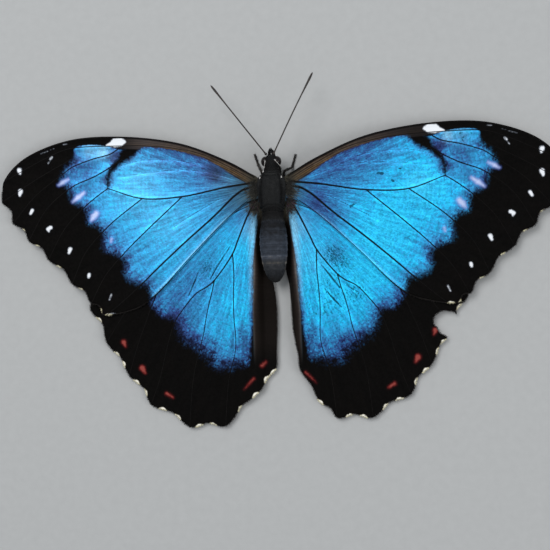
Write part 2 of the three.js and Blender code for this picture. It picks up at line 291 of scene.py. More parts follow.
# Veins, (outward, ahead, half width), from the base to the margin.
FOREWING_VEINS = [
    [(4, 2.2, .3), (5, 2.1, .27), (10, 1.6, .24), (13, 1.1, .22), (19.8, .05, .2), (28.8, 0, .17),
     (36.5, 2.5, .12)],
    [(2.6, 1.6, .3), (4, 1.3, .3), (6, .9, .28), (8.2, -.4, .27), (12.5, -4.2, .24), (20, -10.3, .22),
     (26, -15.5, .2), (29.4, -18.6, .18), (34, -22.5, .14), (37.6, -25.3, .1)],
    [(19.8, .05, .16), (28, -7, .16), (32.9, -11.5, .15), (37.5, -16.5, .13), (41.2, -23, .1)],
    [(28.8, 0, .15), (35.2, -4.6, .15), (37.7, -6.8, .15), (42, -11.5, .13), (45.3, -18.4, .1)],
    [(36.5, 2.5, .14), (38.8, 1, .15), (41.9, -1.4, .14), (46.5, -6, .12), (50.5, -12.8, .09)],
    [(33, 8.7, .16), (39.1, 5.4, .16), (44.7, 3.1, .14), (50.5, -1.5, .12), (54.9, -8.5, .09)],
    [(34, 11, .16), (35.8, 10, .16), (39.9, 9.05, .15), (44.7, 7.4, .14), (46.3, 6.3, .13), (53, 1.5, .11),
     (58.5, -4.6, .09)],
    [(4.2, 3, .08), (8, 5.2, .07), (15, 8.95, .06), (25, 11.15, .08), (35, 11.75, .12), (45, 11.6, .14),
     (50, 9.9, .13), (60.3, 4.9, .1)],
    [(45, 9.1, .12), (52, 5.5, .12), (60.9, .3, .09)],
]
HINDWING_VEINS = [
    [(3.6, -1.8, .24), (5.2, -4.2, .22), (6.9, -7.8, .21), (7.9, -10, .2), (9, -12.4, .19),
     (13.2, -17.8, .17), (14.8, -19.1, .16), (17.3, -20.5, .15), (20, -23.4, .14), (22.2, -26.4, .13),
     (23.7, -30.3, .12), (26.2, -39.1, .1), (28.2, -44.2, .08)],
    [(9, -12.4, .16), (8.9, -16.6, .14), (9.2, -21.5, .13), (9.3, -25.5, .12), (9.2, -32.3, .11),
     (11, -39.2, .1), (12.1, -49, .08)],
    [(13.2, -17.8, .15), (13.9, -20.5, .14), (14.8, -23.5, .13), (15.5, -26.4, .12), (16.1, -29.3, .12),
     (18.4, -37.2, .1), (19.2, -42.1, .1), (19.9, -49.1, .08)],
    [(4, -2, .08), (10, -4.8, .12), (18, -11.5, .18), (24, -17, .16), (27, -22.5, .14), (28.6, -26.3, .12),
     (30.6, -31.2, .1), (32.8, -37.8, .08)],
    [(18, -11.5, .15), (27, -17, .14), (33, -24, .11), (37.4, -30.5, .08)],
    [(10, -4.8, .1), (24, -11.5, .15), (34, -17, .12), (41, -23, .08)],
    [(3, -1.5, .06), (9, -2.5, .08), (24, -7.4, .18), (36, -15.2, .12)],
]
# Fine folds in the membrane, seen as thin dark lines.
FOREWING_CREASES = [
    [(10, -.4, .03), (12, -1, .07), (15, -2.5, .08), (20, -5.2, .07), (22, -6.5, .03)],
    [(8, 3.2, .03), (14, 5.2, .05), (20, 6, .06), (28, 5.6, .05), (34, 4.9, .03)],
    [(15, 6.6, .02), (22, 8.3, .05), (29, 8.4, .05), (33.5, 7.4, .03)],
]
HINDWING_CREASES = {
    "left": [
        [(16.7, -16, .05), (17.9, -18.6, .12), (19.1, -21, .05)],
        [(9.4, -10.7, .04), (12, -14.2, .1), (14.2, -17.6, .05)],
    ],
    "right": [
        [(9.9, -15.8, .05), (11.6, -18, .13), (13.6, -20.8, .08)],
        [(10.6, -21.2, .04), (12.2, -23.2, .14), (13.9, -25.1, .06)],
        [(15.2, -20.3, .05), (16.6, -21.4, .05)],
    ],
}

# Markings as tapering strokes, (outward, ahead, half width).
FOREWING_WHITE = [
    [(32.7, 12.55, .7), (33.4, 12.55, 1.2), (34.6, 12.45, 1.2), (35.5, 12.2, .75), (36.5, 12, .3)],
    [(56.45, 6.7, .45), (56.6, 7.35, .7)],
    [(56.7, 1.75, .4), (56.45, 2.65, .72)],
    [(54.35, -2.35, .4), (53.9, -1.6, .52)],
    [(50.3, -6.4, .3), (50.5, -5.9, .5), (49.8, -5.6, .55)],
    [(45.8, -11.3, .42), (45.5, -10.5, .58)],
    [(41.5, -16.75, .42), (41.35, -16.3, .52)],
    [(36.95, -21.9, .15), (36.4, -20.8, .26)],
    [(49, 10, .2), (49.4, 9.5, .32)],
    [(49.8, 8.9, .14), (50, 8.6, .12)],
    [(35.7, -25, .12), (36.7, -25, .16)],
    [(45.4, 12.7, .06), (46.4, 12.6, .1)],
    [(48.5, 11.8, .0), (50.6, 11.1, .03), (51.6, 10.8, .0)],
]
FOREWING_LILAC = [
    [(45.5, 4.9, .35), (46.7, 4.3, .6), (47.7, 3.7, .3)],
    [(42, 1.8, .45), (43.3, .9, .72), (44.6, -.1, .3)],
    [(39.3, -2.8, .7), (39.9, -3.5, .8), (40.6, -4.4, .35)],
    [(36, -8.4, .3), (36.2, -9.2, .35)],
]
FOREWING_BAR = [(29.8, 11.6, 1), (31.4, 10.5, 1.3), (32.7, 9.5, 1), (34, 8.1, .6), (35.3, 6.9, .38),
                (36.1, 5.9, .26), (36.5, 4.7, .2), (36.5, 2.7, .12)]
FOREWING_BLUE = [[3.4, 1.8], [5.5, 2.3], [8, 3.8], [11, 6], [15, 8.3], [20, 9.9], [25, 11], [30, 11.3],
                 [33, 10.9], [35.6, 11.6], [40, 12.3], [43.8, 11.7], [44.2, 9.4], [45.9, 7.4], [47, 4.2],
                 [45.5, 2.6], [44.9, .2], [43.8, -.8], [42.3, -1.2], [41.6, -3], [41.2, -5],
                 [38.6, -6.2], [37.9, -7.2], [38.3, -9.4], [37.3, -11.5], [34.6, -12.2], [33.2, -13.4],
                 [33.5, -15.6], [32.6, -17.6], [30.4, -18.7], [28.4, -19.3], [26, -26], [6, -9],
                 [1, -4], [0, 0]]
HINDWING_RED = [
    [(33.75, -30.6, .82), (33.35, -31.6, .42)],
    [(29.9, -36.3, .92), (29.3, -37.35, .5)],
    [(24.7, -41.9, .66), (23.4, -42.7, .5)],
    [(5.6, -39, .5), (6.9, -40.3, .46), (7.9, -41.4, .25)],
    [(3, -35.6, .55), (3.7, -36.3, .65)],
]
HINDWING_BLUE = [[3.3, -3], [3.3, -5.9], [3.85, -9.8], [4.4, -14.7], [5, -24.5], [5.5, -29.4], [6.2, -34.3],
                 [6.6, -36], [9, -35.8], [12, -36.7], [13.9, -36], [15, -34.3], [16.9, -32.8], [18.5, -31.5],
                 [20.2, -30.5], [21.6, -28.2], [22.4, -25.9], [24.8, -25.7], [26.6, -24], [28, -20],
                 [27, -15], [19, -7], [9, -1], [4, .5], [2.6, -1]]
FOREWING_LUNULES = [(56.4, -6.1), (52.8, -9.7), (48.1, -14.5), (43.5, -19.8), (39.1, -24), (37, -25)]
HINDWING_LUNULES = [(38.8, -25.6), (35.8, -33.5), (33.9, -35.1), (31.3, -39.1), (29.1, -41.4), (25.8, -45.2),
                    (22.3, -46.6), (17.8, -48.3), (14.7, -48.5), (8.6, -45.6), (5.3, -42.6),
                    (3.2, -39.1), (1.4, -37.6)]

# How far the blue runs from violet (low) to cyan (high): a level, then soft patches (x, y, reach, amount).
# Partly the blue's own patches and partly painted shimmer: the levels and patches also paint how the blue's
# colour and brightness shift with the light, so the two sides differ.
TONE_AND_PAINTED_SHIMMER = {
    ("forewing", "left"): (.62, [
        (14, 8.5, 7, -.42), (12.5, 4.6, 1.8, -.4), (25, 9.5, 6, -.2), (8, -2.5, 4, -.1), (16, 2, 4, -.04),
        (31, 3, 6, .2), (24, -7, 9, .14), (35, 9.6, 1.5, -.6), (42, 7, 4.5, -.26), (42, -2, 4, -.14),
        (36.5, -11, 4, -.2), (31, -15, 4, -.1)]),
    ("forewing", "right"): (.76, [
        (14, 7.5, 8, -.52), (23, 9.5, 6, -.22), (9, -2.5, 4.5, -.45), (13, -6, 3, -.3), (30, 2, 7, .14),
        (23, -9, 9, .26), (33, 0, 5, .14), (33.5, -13, 3, -.25), (44, 1, 3, -.25), (35.4, 9, 1.7, -.6),
        (39, 6.5, 4, -.44), (9.2, -3, 2, -.1)]),
    ("hindwing", "left"): (.66, [
        (8, -24, 6, .22), (7, -12, 5, .22), (17, -18, 5, -.12), (22, -22, 5, -.24), (20, -28, 4, -.16),
        (6, -4, 4, -.25), (12, -33, 4, .1)]),
    ("hindwing", "right"): (.8, [
        (9, -18, 8, .14), (14, -25, 6, .1), (21, -17, 6, .2), (12.5, -13.5, 2.4, -.2), (7, -5, 4, -.2),
        (25, -23, 4, -.2), (14, -32, 5, -.22)]),
}
# Painted highlight: how far the blue is lightened towards pale sky blue where light catches it, as a level,
# then soft patches.
PAINTED_HIGHLIGHT = {
    ("forewing", "left"): (.05, [
        (30, 2.5, 6, .3), (23, -6, 6, .16), (37.4, 10.5, 1.5, .9), (40.4, 11.2, 1.8, .6), (37, 12, .9, .5)]),
    ("forewing", "right"): (.02, [
        (31, 1, 3, .14), (37.2, 10.8, 1.2, .8), (40, 11.2, 2, .3), (37, 12.2, .9, .6)]),
    ("hindwing", "left"): (.02, [(4.3, -7.5, 2.6, .5)]),
    ("hindwing", "right"): (0, [(4.2, -7.5, 2.8, .6), (7, -14, 5, .16)]),
}
# Where blue scales are rubbed off, as soft patches, and small nicks in them, as strokes.
WORN = {
    ("forewing", "left"): [(12.4, 4.5, 1.8, .42), (38, 7, 3, .08), (43, 9, 2.5, .24)],
    ("forewing", "right"): [(22, 3.4, 2, .14), (17, -3.4, 2.4, .16), (40.5, 11, 2.6, .34)],
    ("hindwing", "left"): [(14, -15.5, 3, .42), (9, -33, 3, .2), (8, -27, 7, .16), (20, -25, 5, .2)],
    ("hindwing", "right"): [
        (12.3, -13.2, 2.2, .42), (14, -15, 2, .3), (17.5, -21.5, 1.5, .25), (11, -23, 10, .27)],
}
NICKS = {
    ("forewing", "right"): [
        [(22.4, 3.6, .15), (23.4, 3.3, .2)], [(25.2, 1.9, .12), (25.8, 1.7, .15)],
        [(26.9, 4.4, .08), (27.2, 4.2, .1)], [(17.2, -3, .12), (16.5, -3.4, .1)],
    ],
}
# How far the dull dust of the wing's root reaches into the blue, as a share.
DUSK_REACH = {
    ("forewing", "left"): 2, ("forewing", "right"): .95,
    ("hindwing", "left"): .8, ("hindwing", "right"): .62,
}
# The underside's eyespots, (outward, ahead, reach), which the species wears on brown.
FOREWING_OCELLI = [(49.6, 4.4, 1.7), (45.6, -2.6, 2.7), (40.4, -8.6, 3.2), (35.4, -14.6, 2.6)]
HINDWING_OCELLI = [(31, -19.5, 4.3), (25.6, -32, 2.9), (20.6, -35.6, 3.4), (14.6, -37.8, 2.5)]
FOREWING_PALE_BANDS = [[(13, 7, .5), (12.6, 1.5, .35)], [(24, 10, .6), (23, 5, .5), (23.6, .5, .3)],
                       [(35.5, 11.5, .9), (36.6, 5, .8), (32, -3, .8), (27, -10, .7), (23, -15, .4)]]
HINDWING_PALE_BANDS = [[(9, -3, .5), (8, -12, .6), (8, -22, .5), (9.5, -33, .4)],
                       [(20, -7, .8), (19.5, -16, .9), (16, -24, .8), (13, -30, .6)]]

# What each kind of wing is drawn from.
PLANS = {
    "forewing": {
        "root": (2.5, 1.2), "height": forewing_height, "outline": forewing_outline, "front": FOREWING_COSTA,
        "veins": FOREWING_VEINS, "ends": FOREWING_VEIN_ENDS, "corner": FOREWING_TORNUS,
        "creases": {"left": FOREWING_CREASES, "right": FOREWING_CREASES}, "crease_wear": .03,
        "blue": FOREWING_BLUE, "white": FOREWING_WHITE, "tinted": FOREWING_LILAC,
        "lunules": FOREWING_LUNULES, "lunule_width": .54,
        "ocelli": FOREWING_OCELLI, "pale_bands": FOREWING_PALE_BANDS, "fringe_starts": (24, 32),
    },
    "hindwing": {
        "root": (3, -1.5), "height": hindwing_height, "outline": hindwing_outline, "front": HINDWING_COSTA,
        "veins": HINDWING_VEINS, "ends": HINDWING_VEIN_ENDS, "corner": ANAL_MARGIN,
        "creases": HINDWING_CREASES, "crease_wear": .09,
        "blue": HINDWING_BLUE, "white": [], "tinted": HINDWING_RED,
        "lunules": HINDWING_LUNULES, "lunule_width": .74,
        "ocelli": HINDWING_OCELLI, "pale_bands": HINDWING_PALE_BANDS, "fringe_starts": (14, 26),
    },
}
WHITE_SHARE = .82  # how much of a white spot's drawn width stays clear of dark scales


def edge_veins(side):
    """The forewing's stout vein just inside the leading edge, and the fine one along its inner margin."""
    rod = spline(FOREWING_COSTA, step=.5) - (0, .24)
    rod = np.column_stack([rod, np.interp(rod[:, 0], [3, 20, 60], [.16, .22, .14])])
    hem = spline([FOREWING_TORNUS[side][1], *FOREWING_INNER_MARGIN], step=.5)[2:-6] + (.12, .13)
    return [rod[3:], np.column_stack([hem, np.full(len(hem), .09)])]


def margin_strokes(outline, places, width):
    """Short strokes along the margin, widest in the middle, one at each place that isn't torn away."""
    strokes = []
    for place in places:
        gap = np.linalg.norm(outline - np.array(place), axis=1)
        nearest = int(np.argmin(gap))
        if gap[nearest] < 1.2:
            run = outline[np.arange(nearest - 1, nearest + 2) % len(outline)]
            strokes.append([(x, y, width * share) for (x, y), share in zip(run, (.75, 1, .75))])
    return strokes


class Wing:
    """One wing's plan: its outline, veins and markings on its own side."""

    def __init__(self, kind, side):
        self.kind = kind
        self.side = side
        self.key = (kind, side)
        self.mirror = SIDES[side]
        self.plan = PLANS[kind]
        place = as_drawn if kind == "forewing" else placed(side)
        self.height = self.plan["height"]
        self.outline = self.plan["outline"](side)
        self.veins = [spline(place(vein), step=.5) for vein in self.plan["veins"]]
        if kind == "forewing":
            self.veins += edge_veins(side)
        self.creases = [place(crease) for crease in self.plan["creases"][side]]
        self.blue = spline(place(self.plan["blue"]), closed=True, step=.5)
        self.white = [np.array(mark) * (1, 1, WHITE_SHARE) for mark in self.plan["white"]]
        self.tinted = [place(mark) for mark in self.plan["tinted"]]
        self.lunules = margin_strokes(self.outline, place(self.plan["lunules"]), self.plan["lunule_width"])
        self.ocelli = place(self.plan["ocelli"])
        self.pale_bands = [place(band) for band in self.plan["pale_bands"]]
        self.root = np.array(self.plan["root"])
        ends = place([*self.plan["ends"], self.plan["corner"][side][0]])
        self.notches = (ends[1:] + ends[:-1]) / 2

    def fields(self, at):
        """The markings at plan points, with the painted highlight and the painted shimmer of the blue, as
        smooth fields in millimetres that the scales' finish draws from.
        """
        radial = at - self.root
        reach = np.linalg.norm(radial, axis=1)
        bearing = np.arctan2(radial[:, 1], radial[:, 0])
        band = self.band(at)
        level, tones = TONE_AND_PAINTED_SHIMMER[self.key]
        creases = off_strokes(at, self.creases) - self.plan["crease_wear"]
        nicks = off_strokes(at, NICKS.get(self.key, []))
        rings = [np.linalg.norm(at - (x, y), axis=1) / ring for x, y, ring in self.ocelli]
        return {
            "blue": self.blue_depth(at, band),
            "white": off_strokes(at, self.white),
            "tinted": off_strokes(at, self.tinted),
            "cream": off_strokes(at, self.lunules),
            "vein": np.minimum(off_strokes(at, self.veins), creases),
            "band": band,
            "edge": inside_by(at, self.outline),
            "tone": level + soft_patches(at, tones),
            "worn": soft_patches(at, WORN[self.key]) + 2 * smooth(.12, -.12, nicks),
            "base": reach / DUSK_REACH[self.key],
            "strip": self.strip(reach),
            "reach": reach,
            "ocellus": np.min(rings, axis=0),
            "pale": off_strokes(at, self.pale_bands),
            "painted_highlight": self.painted_highlight(at, band),
            "lie": np.stack([reach, bearing * 24, np.zeros(len(at))], 1),
        }

    def band(self, at):
        """How far points lie behind the forewing's leading edge, or outside the field beside the body."""
        if self.kind == "forewing":
            return off_line(at, spline(FOREWING_COSTA, step=1))
        return at[:, 0] - 4.6 - .6 * smooth(-15, -27, at[:, 1]) + .7 * smooth(-12, -5, at[:, 1])

    def blue_depth(self, at, band):
        """How deep in the blue points lie, in steps of how raggedly it ends there."""
        blue = inside_by(at, self.blue) / self.fray(at, band)
        if self.kind == "forewing":
            blue = np.minimum(blue, off_stroke(at, FOREWING_BAR) / .5)
        return blue

    def fray(self, at, band):
        """How raggedly the blue ends: cleanly beside the body and the leading edge, brokenly behind."""
        if self.kind == "forewing":
            return .14 + .86 * smooth(2.4, 5, band)
        y = at[:, 1]
        fray = .13 + .3 * smooth(-9, -16, y) + .57 * smooth(1.2, 3.5, band)
        return fray + .9 * smooth(-26, -33, y) * smooth(.5, 3, band)

    def strip(self, reach):
        """How plainly the leading edge's brown band shows, or the field beside the body."""
        if self.kind == "hindwing":
            return smooth(36, 29, reach)
        if self.side == "left":
            return smooth(35, 27, reach)
        return .25 * smooth(36, 31, reach) + .75 * smooth(31, 12, reach)

    def painted_highlight(self, at, band):
        """How much painted highlight lightens the blue where light catches it. A painted highlight also runs
        as a pale edge beside the hindwing's folded field and along the forewing's inner margin."""
        level, patches = PAINTED_HIGHLIGHT[self.key]
        painted_highlight = level + soft_patches(at, patches)
        if self.kind == "hindwing":
            painted_highlight += .6 * smooth(1.5, .3, band) * smooth(-27, -17, at[:, 1])
        else:
            off_hem = off_line(at, spline(FOREWING_INNER_MARGIN, step=1))
            bright = .9 if self.side == "left" else .4
            painted_highlight += bright * np.exp(-((off_hem - .4) / .16) ** 2) * smooth(7, 12, at[:, 0])
        return np.clip(painted_highlight, 0, 1)

    def relief(self, at):
        """How far the membrane stands off its even sheet: raised along veins, sunk between, slightly wavy."""
        from_vein = off_strokes(at, self.veins)
        from_crease = np.maximum(off_strokes(at, self.creases), 0)
        pleat = .14 * np.exp(-(np.maximum(from_vein, 0) / .6) ** 2) - .05 * smooth(.6, 3, from_vein)
        crease = -.1 * np.exp(-(from_crease / .4) ** 2)
        x, y = at.T
        wave = np.sin(.42 * x + .9 * y + 1.3) + np.sin(.8 * x - .33 * y) + np.sin(1.15 * x + .5 * y + 4)
        return pleat + crease + .07 * (wave / 3) * smooth(0, 6, from_vein)


# ---------------------------------------------------------------- node building

MIX, MATH, RANGE, RAMP = "ShaderNodeMix", "ShaderNodeMath", "ShaderNodeMapRange", "ShaderNodeValToRGB"
NOISE, CELLS, BUMP = "ShaderNodeTexNoise", "ShaderNodeTexVoronoi", "ShaderNodeBump"
FIELD, PLACE, MAPPING = "ShaderNodeAttribute", "ShaderNodeTexCoord", "ShaderNodeMapping"
VECTOR, STORE = "ShaderNodeVectorMath", "GeometryNodeStoreNamedAttribute"
EASED = {"interpolation_type": "SMOOTHSTEP"}


def colour(hex_code):
    """An sRGB hex code as a linear colour with full alpha."""
    parts = [int(hex_code[i:i + 2], 16) / 255 for i in (1, 3, 5)]
    return (*[part / 12.92 if part <= .04045 else ((part + .055) / 1.055) ** 2.4 for part in parts], 1)


def add(tree, kind, joins=None, out=None, stops=None, **settings):
    """Adds a node with its settings, joins or sets its inputs by name or number, and gives one output.
    stops are a ramp's places and hex colours."""
    node = tree.nodes.new(kind)
    for name, value in settings.items():
        setattr(node, name, value)
    if stops:
        ramp = node.color_ramp.elements
        while len(ramp) < len(stops):
            ramp.new(.5)
        for element, (place, hex_code) in zip(ramp, stops):
            element.position, element.color = place, colour(hex_code)
    for name, value in (joins or {}).items():
        socket = node.inputs[name] if isinstance(name, int) else next(
            s for s in node.inputs if s.name == name and s.enabled)
        if isinstance(value, str) and value.startswith("#"):
            value = colour(value)
        if isinstance(value, bpy.types.NodeSocket):
            tree.links.new(value, socket)
        else:
            socket.default_value = value
    usable = [s for s in node.outputs if s.enabled]
    return next((s for s in usable if out in (None, s.name)), node)


def new_material(name, **surface):
    """A material with one Principled shader, whose even settings are put on its sockets."""
    material = bpy.data.materials.new(name)
    material.use_nodes = True
    tree = material.node_tree
    tree.nodes.clear()
    shader = add(tree, "ShaderNodeBsdfPrincipled", surface)
    tree.links.new(shader, add(tree, "ShaderNodeOutputMaterial").inputs["Surface"])
    return material, tree, shader.node


def join(tree, shader, **sockets):
    """Links outputs to the shader's sockets, named with a _ for each space."""
    for name, value in sockets.items():
        tree.links.new(value, shader.inputs[name.replace("_", " ")])


# ---------------------------------------------------------------- finishes

# Tiles per millimetre. Life's scales are half as big, too fine to show.
SCALE_TILE = (1 / .36, 1 / .24, 1)
BLUE_TONES = [(0, "#232e60"), (.2, "#2e4f88"), (.4, "#2f72a8"), (.6, "#3190c8"), (.78, "#2ea4da"),
              (.9, "#22b4ea"), (1, "#2cc2f1")]
# Painted highlight beside the veins: how much the blue is brightened at each distance from a vein.
VEIN_SHEEN = [(0, "#000000"), (.12, "#b4b4b4"), (.3, "#7c7c7c"), (.6, "#000000")]
ROOT_DUST = [(.3, "#1c2429"), (.5, "#334a58"), (.7, "#50707f")]
WHITE_TONES = [(0, "#858d9c"), (.9, "#e2e5ea")]
CREAM_TONES = [(0, "#a89d7c"), (.6, "#f3eee0")]
UPPER_FIELDS = ("blue", "white", "tinted", "cream", "vein", "band", "tone", "worn", "base", "strip", "reach",
                "painted_highlight")


def scale_grain(tree):
    """The grain of single scales: tiles that each have their own luck, clouds of about 2 mm, rays that run
    out from the wing's root, and rows of scales across them."""
    lie = add(tree, FIELD, out="Vector", attribute_name="lie")
    tiles = add(tree, MAPPING, {"Vector": lie, "Scale": SCALE_TILE})
    tile = add(tree, CELLS, {"Vector": tiles, "Scale": 1, "Randomness": .75}, out="Color")
    speck = add(tree, "ShaderNodeSeparateColor", {"Color": tile}, out="Red")
    rays = add(tree, MAPPING, {"Vector": lie, "Scale": (.16, 1.5, 1)})
    rows = add(tree, MAPPING, {"Vector": lie, "Scale": (2.2, .22, 1)})
    return {
        "groove": next(s for s in tile.node.outputs if s.name == "Distance"),
        "speck": speck,
        "glint": next(s for s in speck.node.outputs if s.name == "Green"),
        "cloud": add(tree, NOISE, {"Vector": lie, "Scale": .55, "Detail": 4, "Roughness": .6}),
        "streak": add(tree, NOISE, {"Vector": rays, "Scale": 1, "Detail": 3}),
        "row": add(tree, NOISE, {"Vector": rows, "Scale": 1, "Detail": 2}),
    }


def blue_cover(tree, field):
    """Where blue scales stand: the border is ragged and breaks up scale by scale. Gives how deep in the blue
    each scale is, and how blue it is."""
    shift = add(tree, MATH, {0: field["speck"], 1: .6, 2: -1.1}, operation="MULTIPLY_ADD")
    shift = add(tree, MATH, {0: field["cloud"], 1: 1.6, 2: shift}, operation="MULTIPLY_ADD")
    ragged = add(tree, MATH, {0: shift, 1: field["blue"]})
    is_blue = add(tree, RANGE, {"Value": ragged, "From Min": -1, "From Max": 1.3}, **EASED)
    return ragged, add(tree, MATH, {0: is_blue, 1: 1.7}, operation="POWER")


def blue_shine(tree, field, ragged, edge_hue):
    """The blue itself: violet near its border, cyan inside, with a painted highlight where the light catches
    it and a painted highlight beside the veins, and dull where scales are rubbed off."""
    deep = add(tree, RANGE, {"Value": ragged, "From Min": -.2, "From Max": 3.4, "To Min": edge_hue,
                             "To Max": 0}, **EASED)
    hue = field["tone"]
    for key, share in (("cloud", .6), ("speck", .26), ("streak", .5)):
        hue = add(tree, MATH, {0: field[key], 1: share, 2: hue}, operation="MULTIPLY_ADD")
    hue = add(tree, MATH, {0: hue, 1: .68}, operation="SUBTRACT")
    hue = add(tree, MATH, {0: hue, 1: deep}, operation="SUBTRACT")
    blue = add(tree, RAMP, {"Fac": hue}, out="Color", stops=BLUE_TONES)
    # Painted highlight: the blue mixed towards pale sky blue.
    painted_highlight = add(tree, MATH, {0: field["painted_highlight"], 1: .6}, operation="MULTIPLY")
    blue = add(tree, MIX, {"Factor": painted_highlight, "A": blue, "B": "#8fc4de"}, data_type="RGBA")
    light = .37
    for key, share in (("glint", .36), ("row", .5), ("streak", .84)):
        light = add(tree, MATH, {0: field[key], 1: share, 2: light}, operation="MULTIPLY_ADD")
    # Painted highlight on both sides of each vein, where the folds beside it catch the light.
    beside = add(tree, RAMP, {"Fac": field["vein"]}, out="Color", stops=VEIN_SHEEN)
    light = add(tree, MATH, {0: beside, 1: .7, 2: light}, operation="MULTIPLY_ADD")
    light = add(tree, MATH, {0: light, 1: .28}, operation="SUBTRACT")
    rubbed = add(tree, MATH, {0: field["speck"], 1: .8, 2: field["worn"]}, operation="MULTIPLY_ADD")
    rubbed = add(tree, RANGE, {"Value": rubbed, "From Min": .82, "From Max": 1.1, "To Min": 1, "To Max": .25})
    light = add(tree, MATH, {0: light, 1: rubbed}, operation="MULTIPLY")
    return add(tree, MIX, {"Factor": 1, "A": blue, "B": light}, data_type="RGBA", blend_type="MULTIPLY")


def with_band(tree, field, base, is_blue, stops, reach, far_colour):
    """Adds the band along the leading edge, or the field beside the abdomen. Gives where it lies too."""
    across = add(tree, MATH, {0: field["streak"], 1: .5, 2: field["band"]}, operation="MULTIPLY_ADD")
    across = add(tree, RANGE, {"Value": across, "From Min": reach[0] + .25, "From Max": reach[1] + .25})
    strip = add(tree, RAMP, {"Fac": across}, out="Color", stops=stops)
    strip = add(tree, MIX, {"Factor": .5, "A": strip, "B": field["row"]}, data_type="RGBA",
                blend_type="OVERLAY")
    far = add(tree, RANGE, {"Value": field["reach"], "From Min": 10, "From Max": 28, "To Max": .75})
    strip = add(tree, MIX, {"Factor": far, "A": strip, "B": far_colour}, data_type="RGBA")
    in_band = add(tree, RANGE, {"Value": across, "From Min": .92, "From Max": 1, "To Min": 1, "To Max": 0})
    in_band = add(tree, MATH, {0: in_band, 1: field["strip"]}, operation="MULTIPLY")
    clear_of_blue = add(tree, MATH, {0: 1, 1: is_blue}, operation="SUBTRACT")
    in_band = add(tree, MATH, {0: in_band, 1: clear_of_blue}, operation="MULTIPLY")
    return add(tree, MIX, {"Factor": in_band, "A": base, "B": strip}, data_type="RGBA"), in_band


def with_root(tree, field, base, in_band):
    """Dulls the wing towards its root: an olive tinge on the band, and grey-blue dust elsewhere."""
    dusk = add(tree, RANGE, {"Value": field["base"], "From Min": 1, "From Max": 8, "To Min": .95,
                             "To Max": 0}, **EASED)
    off_band = add(tree, MATH, {0: 1, 1: in_band}, operation="SUBTRACT")
    dusk = add(tree, MATH, {0: dusk, 1: off_band}, operation="MULTIPLY")
    hinge = add(tree, RANGE, {"Value": field["reach"], "From Min": 2, "From Max": 6, "To Min": .8,
                              "To Max": 0})
    hinge = add(tree, MATH, {0: hinge, 1: in_band}, operation="MULTIPLY")
    base = add(tree, MIX, {"Factor": hinge, "A": base, "B": "#38362e"}, data_type="RGBA")
    dust = add(tree, RAMP, {"Fac": field["streak"]}, out="Color", stops=ROOT_DUST)
    return add(tree, MIX, {"Factor": dusk, "A": base, "B": dust}, data_type="RGBA")


def with_marks(tree, field, base, tints):
    """Adds pale and coloured marks, whose edges follow the scales, and the dark line of each vein."""
    for key, tones, start, full, wander in (
            ("tinted", tints, .5, -.62, .14),
            ("white", WHITE_TONES, .16, -.26, .12),
            ("cream", CREAM_TONES, .14, -.14, .16)):
        edge = add(tree, MATH, {0: field["speck"], 1: wander, 2: field[key]}, operation="MULTIPLY_ADD")
        mark = add(tree, RANGE, {"Value": edge, "From Min": start + wander / 2,
                                 "From Max": full + wander / 2}, **EASED)
        tone = add(tree, RAMP, {"Fac": mark}, out="Color", stops=tones)
        base = add(tree, MIX, {"Factor": mark, "A": base, "B": tone}, data_type="RGBA")
    lined = add(tree, RANGE, {"Value": field["vein"], "From Min": .04, "From Max": -.1, "To Max": .85},
                **EASED)
    return add(tree, MIX, {"Factor": lined, "A": base, "B": "#07090d"}, data_type="RGBA")


def upper_scales(name, band_tones, band_reach, band_far, tints, edge_hue):
    """Wing scales that shine metallic blue by their fine ridges, and velvet black scales around them.
    The eye sees a silky blue grain that breaks up, scale by scale, into violet and then warm black."""
    material, tree, shader = new_material(name, **{"Specular IOR Level": .05})
    field = {key: add(tree, FIELD, out="Fac", attribute_name=key) for key in UPPER_FIELDS}
    field.update(scale_grain(tree))
    ragged, is_blue = blue_cover(tree, field)
    blue = blue_shine(tree, field, ragged, edge_hue)
    black = add(tree, MIX, {"Factor": field["streak"], "A": "#020202", "B": "#0a0807"}, data_type="RGBA")
    base = add(tree, MIX, {"Factor": is_blue, "A": black, "B": blue}, data_type="RGBA")
    base, in_band = with_band(tree, field, base, is_blue, band_tones, band_reach, band_far)
    base = with_root(tree, field, base, in_band)
    base = with_marks(tree, field, base, tints)
    metal = add(tree, MATH, {0: is_blue, 1: .35}, operation="MULTIPLY")
    rough = add(tree, RANGE, {"Value": is_blue, "To Min": .72, "To Max": .4})
    rough = add(tree, MATH, {0: field["glint"], 1: .14, 2: rough}, operation="MULTIPLY_ADD")
    height = add(tree, MATH, {0: field["groove"], 1: -.6, 2: field["streak"]}, operation="MULTIPLY_ADD")
    bump = add(tree, BUMP, {"Strength": .5, "Distance": .00006, "Height": height})
    join(tree, shader, Base_Color=base, Metallic=metal, Roughness=rough, Normal=bump)
    return material


GROUND_TONES = [(.3, "#3d2a1c"), (.5, "#5e452f"), (.7, "#7d6142")]
MARGIN_LINES = [(.1, "#241710"), (.19, "#a4582f"), (.27, "#2c1c13"), (.42, "#b7a988"), (.55, "#8b7556"),
                (.7, "#3b291c")]
EYESPOT_RINGS = [(.09, "#e9e6dc"), (.14, "#191110"), (.4, "#16100f"), (.47, "#7f8fa0"), (.52, "#20140f"),
                 (.56, "#cfa347"), (.68, "#c2943c"), (.73, "#26180f"), (.84, "#2a1b12"), (.9, "#a79773")]


